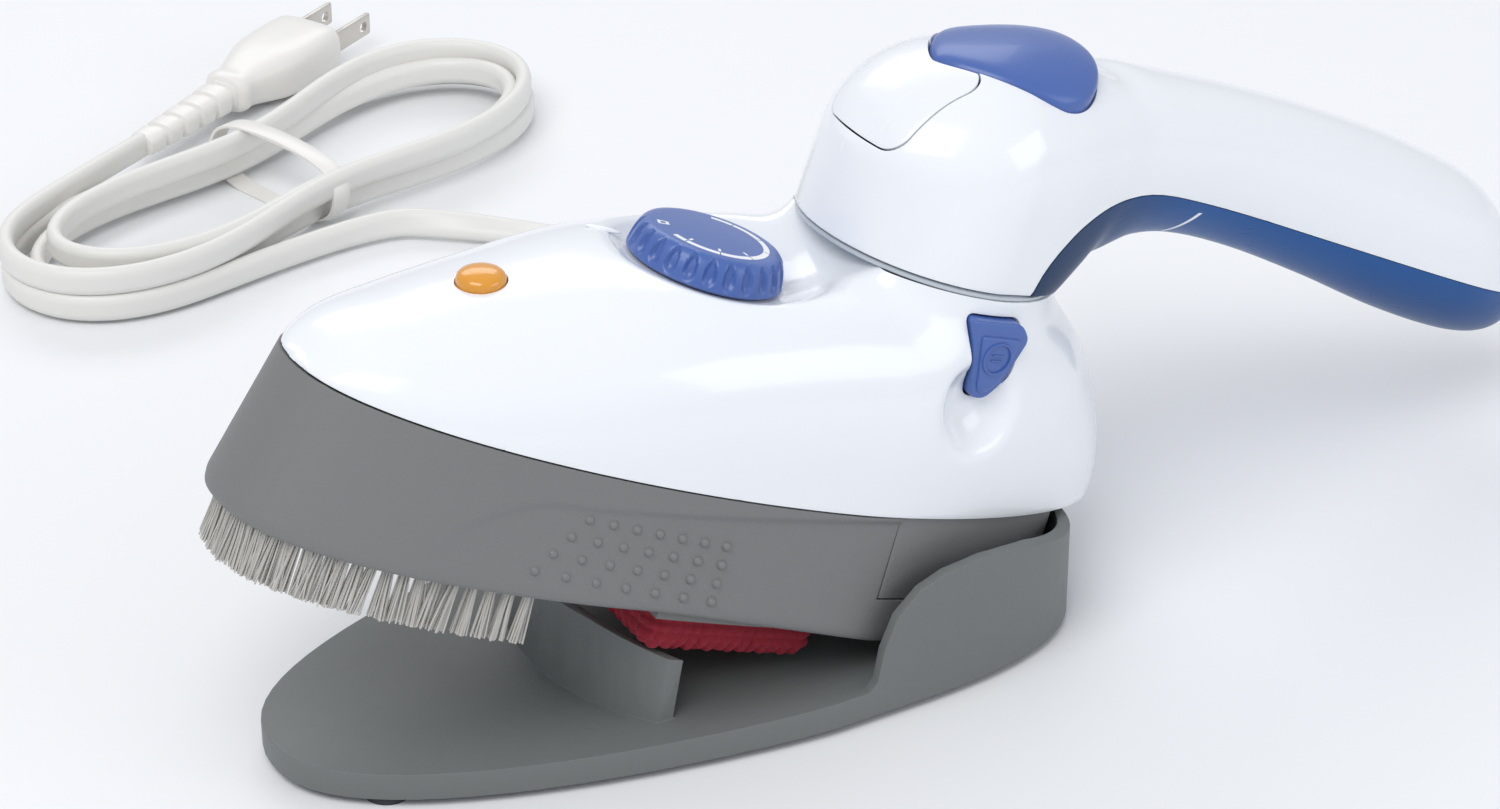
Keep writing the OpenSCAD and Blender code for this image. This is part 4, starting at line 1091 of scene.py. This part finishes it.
def makeBrushFrame():
    across, tall = 420, 58
    low = outlinePoints(brush["half"], brush["front"], brush["rearLow"], across)
    high = outlinePoints(head["half"], brush["topFront"], brush["rearHigh"], across)
    rows = []
    for (lx, ly), (hx, hy) in zip(low, high):
        bottom = np.array([lx, ly, float(skirtLow(lx))])
        top = np.array([hx, hy, float(seamAt(hx)) - brush["gap"]])
        inward = np.array([(head["widest"] - lx) * float(ease((-30 - lx) / 60)), -ly, 0.0])
        inward /= max(np.linalg.norm(inward), 1e-6)
        row = []
        t = np.linspace(1, 0, tall)
        for share in t:
            p = bottom * (1 - share) + top * share
            z = p[2]
            depth = brush["recess"] * float(ease((gripLine(p[0]) - z + 0.9) / 1.8)) * float(ease((p[0] + 116) / 14))
            roll = max(0.0, 1 - (z - bottom[2]) / 3.2)
            depth += 1.5 * (1 - math.sqrt(max(0.0, 1 - roll * roll)))
            for line in (10.5, -10.5):  # faint folds down the nose
                if p[0] < -100:
                    depth += 0.25 * math.exp(-((p[1] - line) / 0.7) ** 2)
            row.append(p + inward * depth)
        # Foot of the wall turned in under the nose
        lip = 1.4 + (brush["lip"] - 3.2) * float(ease((-62 - lx) / 8))
        foot = row[-1]
        for k in range(1, 9):
            row.append(foot + inward * lip * k / 8 + np.array([0, 0, -0.02]))
        rows.append(row)
    n = len(row)
    quads = [(i * n + k, (i + 1) * n + k, (i + 1) * n + k + 1, i * n + k + 1)
             for i in range(across - 1) for k in range(n - 1)]
    frameMesh = fromFaces("brushFrame", [tuple(p) for row in rows for p in row], quads)
    tidyNormals(frameMesh)
    middle = frameMesh.data.polygons[len(frameMesh.data.polygons) // 2]
    outward = middle.normal.x < 0
    useModifier(frameMesh, "SOLIDIFY", thickness=brush["wall"], offset=-1 if outward else 1, use_even_offset=False)
    tidyNormals(frameMesh)
    step = slab("rearStep", [(brush["end"], brush["step"]), (20, brush["step"]), (20, 50), (brush["end"] + 0.4, 50)],
                -60, 60, "Y")
    carve(frameMesh, step)
    softEdges(frameMesh, 0.25, 2, 60)
    return settle(frameMesh, onHead, 38)


def makeStuds():
    dome = spun("studDome", [(0.0, 0.92), (0.42, 0.84), (0.78, 0.58), (1.0, 0.2), (1.08, -0.35)], 12)
    shape = [v.co.copy() for v in dome.data.vertices]
    faces = [tuple(p.vertices) for p in dome.data.polygons]
    bpy.data.objects.remove(dome)
    points, made = [], []
    for side in (-1, 1):
        for row in range(4):
            for i in range(7):
                x = -52 - 5.2 * (6 - i) * (1 + 0.09 * row)
                z = 16.4 - 3.9 * row - 0.35 * (i - 3)
                t = (z - float(skirtLow(x))) / (float(seamAt(x)) - float(skirtLow(x)))
                y = (float(sideAt(x, brush["half"], brush["front"], brush["rearLow"])) * (1 - t)
                     + float(sideAt(x, head["half"], brush["topFront"], brush["rearHigh"])) * t)
                onPanel = z < gripLine(x)
                place = (Matrix.Translation((x, side * (y - (brush["recess"] if onPanel else 0)), z))
                         @ Matrix.Rotation(math.radians(-90 * side), 4, "X"))
                base = len(points)
                points += [place @ p for p in shape]
                made += [tuple(base + k for k in face) for face in faces]
    studs = fromFaces("gripStuds", [tuple(p) for p in points], made)
    tidyNormals(studs)
    return settle(studs, onHead, 60)


bristle = {"tufts": 49, "fibres": 26, "length": 11.0, "thick": 0.2, "half": 36, "front": 120.5}


def makeBristles():
    # Flat-cut bundles of nylon fibre, each splayed a little along the row and outwards
    dice = random.Random(41)
    points, made = [], []
    for i in range(bristle["tufts"]):
        a = math.radians(122 + 116 * i / (bristle["tufts"] - 1))
        x, y = ringPoint(a, bristle["half"], bristle["front"], brush["rearLow"])
        bx, by = ringPoint(a + 0.01, bristle["half"], bristle["front"], brush["rearLow"])
        along = Vector((bx - x, by - y, 0)).normalized()
        outward = Vector((along.y, -along.x, 0))
        if outward.dot(Vector((x + 60, y, 0))) < 0:
            outward = -outward
        lean = dice.gauss(0, 0.55)
        for _ in range(bristle["fibres"]):
            r, turn = math.sqrt(dice.random()) * 1.05, dice.uniform(0, math.tau)
            u, v = r * math.cos(turn), r * math.sin(turn)
            root = Vector((x, y, 1.2)) + along * u * 0.9 + outward * v * 0.8
            long = bristle["length"] - 0.35 * dice.random()
            tip = root + along * (u * 0.95 + lean + dice.gauss(0, 0.18)) + outward * (v * 0.4 + dice.gauss(0.35, 0.3))
            tip.z = -long
            knee = root.lerp(tip, 0.5) + (along * dice.gauss(0, 0.08)) - outward * 0.1
            spin = dice.uniform(0, math.tau)
            base = len(points)
            for centre in (root, knee, tip):
                for q in range(4):
                    b = spin + q * math.tau / 4
                    points.append(centre + (along * math.cos(b) + outward * math.sin(b)) * bristle["thick"])
            for ring in (0, 4):
                for q in range(4):
                    n = (q + 1) % 4
                    made.append((base + ring + q, base + ring + n, base + ring + 4 + n, base + ring + 4 + q))
            made.append((base + 3, base + 2, base + 1, base))
            made.append((base + 8, base + 9, base + 10, base + 11))
    tufts = fromFaces("bristleTufts", [tuple(p) for p in points], made)
    tidyNormals(tufts)
    return settle(tufts, onHead, 60)


bristleNylon = plastic("bristleNylon", (0.60, 0.585, 0.55), (0.38, 0.37, 0.345), 0.42, grain=900.0, bump=0.1,
                       amount=0.9)

finishPiece(makeBrushFrame(), skirtGrey, "head", ["brush_frame"])
finishPiece(makeStuds(), skirtGrey, "head", ["grip_studs"])
finishPiece(makeBristles(), bristleNylon, "head", ["bristle_tufts"])
print("brush frame made")


# Stand and rear base, from their own solids
def softened(node, name, width):
    # Merged copy of a hard part with small rounds on its edges
    source = frame["nodes"][node]
    copy = bpy.data.objects.new(name, source.data.copy())
    bpy.context.scene.collection.objects.link(copy)
    mesh = bmesh.new()
    mesh.from_mesh(copy.data)
    bmesh.ops.transform(mesh, matrix=source.matrix_world, verts=mesh.verts)
    bmesh.ops.scale(mesh, vec=(1000, 1000, 1000), verts=mesh.verts)
    bmesh.ops.remove_doubles(mesh, verts=mesh.verts, dist=0.01)
    bmesh.ops.dissolve_limit(mesh, angle_limit=math.radians(1.2), verts=mesh.verts, edges=mesh.edges)
    bmesh.ops.remove_doubles(mesh, verts=mesh.verts, dist=0.05)
    mesh.to_mesh(copy.data)
    mesh.free()
    copy.data.materials.clear()
    if width:
        softEdges(copy, width, 3, 35)
    copy.matrix_world = Matrix.Identity(4)
    return settle(copy, onFloor, 35)


finishPiece(softened("stand", "standBody", 0.9), standGrey, "base", ["stand"])
finishPiece(softened("base_frame", "baseFrame", 0.4), skirtGrey, "head", ["base_frame"])
print("stand made")


# Springs, as plain copies of their own solids
triggerSpring = finishPiece(softened("trigger_spring", "triggerSpring", 0), springSteel, "handle",
                            ["trigger_spring"])
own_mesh(triggerSpring)
lockSpring = finishPiece(softened("lock_spring", "lockSpring", 0), springSteel, "head",
                         ["lock_spring"])
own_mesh(lockSpring)
print("springs made")


# Looped lint pad
pad = {"front": -60, "rear": -18, "half": 33, "low": -12.0, "high": -1.9, "pitch": 2.6, "tuft": 0.75}


def makePad():
    # Cushion with rows of thick looped pile on the face and sides
    cushion = block("lintPad", (pad["front"] + 0.9, -pad["half"] + 0.9, pad["low"] + 0.9),
                   (pad["rear"] - 0.9, pad["half"] - 0.9, pad["high"]))
    softEdges(cushion, 3.6, 6, 40)
    useModifier(cushion, "REMESH", mode="VOXEL", voxel_size=0.42)
    mesh = cushion.data
    points = np.array([v.co for v in mesh.vertices])
    normals = np.array([v.normal for v in mesh.vertices])
    x, y, z = points.T
    row = pad["pitch"]
    shift = np.floor(x / row) * row * 0.5
    a = np.abs(np.sin(math.pi * x / row)) ** 0.6
    b = np.abs(np.sin(math.pi * (y + shift) / (row * 1.15))) ** 0.6
    c = np.abs(np.sin(math.pi * z / (row * 0.9))) ** 0.6
    nx, ny, nz = np.abs(normals).T
    loops = nz * a * b + nx * b * c + ny * a * c
    lift = (loops - 0.25) * pad["tuft"] * np.where(z > pad["high"] - 0.9, 0.2, 1)
    for v, p in zip(mesh.vertices, points + normals * lift[:, None]):
        v.co = p
    return settle(cushion, onHead, 60)


def lintMaterial():
    sheen = {"Sheen Weight": 0.55, "Sheen Roughness": 0.4, "Sheen Tint": (0.8, 0.15, 0.2, 1)}
    return plastic("lintFabric", (0.34, 0.010, 0.028), (0.14, 0.003, 0.010), 0.85, grain=2400.0, bump=0.6,
                   coat=0.0, amount=0.9, **sheen)


lintPad = finishPiece(makePad(), lintMaterial(), "head", ["lint_pad"])
print("pad made,", len(lintPad.data.polygons), "faces")


# Materials of the parts kept as they are
kept = {
    "stand_feet": rubberDark, "sole_plate": metalPlate, "steam_chamber": castMetal, "heater_element": metalPlate,
    "thermal_fuse": ceramicWhite, "thermostat": castMetal, "terminal_block": ceramicWhite,
    "lamp_bulb": glassBulb, "base_screws": screwSteel, "dial_shaft": innerGrey,
    "tank_seal": rubberDark, "swivel_spigot": innerGrey, "spigot_nut": innerGrey,
    "spigot_screws": screwSteel, "water_tube": brassParts, "filler_plug": rubberDark,
    "trigger_pin": screwSteel, "valve_rod": brassParts, "pad_holder": innerGrey,
}
for name, material in kept.items():
    mesh = frame["nodes"][name].data
    mesh.materials.clear()
    mesh.materials.append(material)

floorPaper = plastic("floorPaper", view["floor"], tuple(0.97 * c for c in view["floor"]), 0.6, grain=300.0, bump=0.02)
deselectAll()
bpy.ops.mesh.primitive_plane_add(size=9)
floor = added("floorSheet")
floor.data.materials.append(floorPaper)

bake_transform(mainsCord)
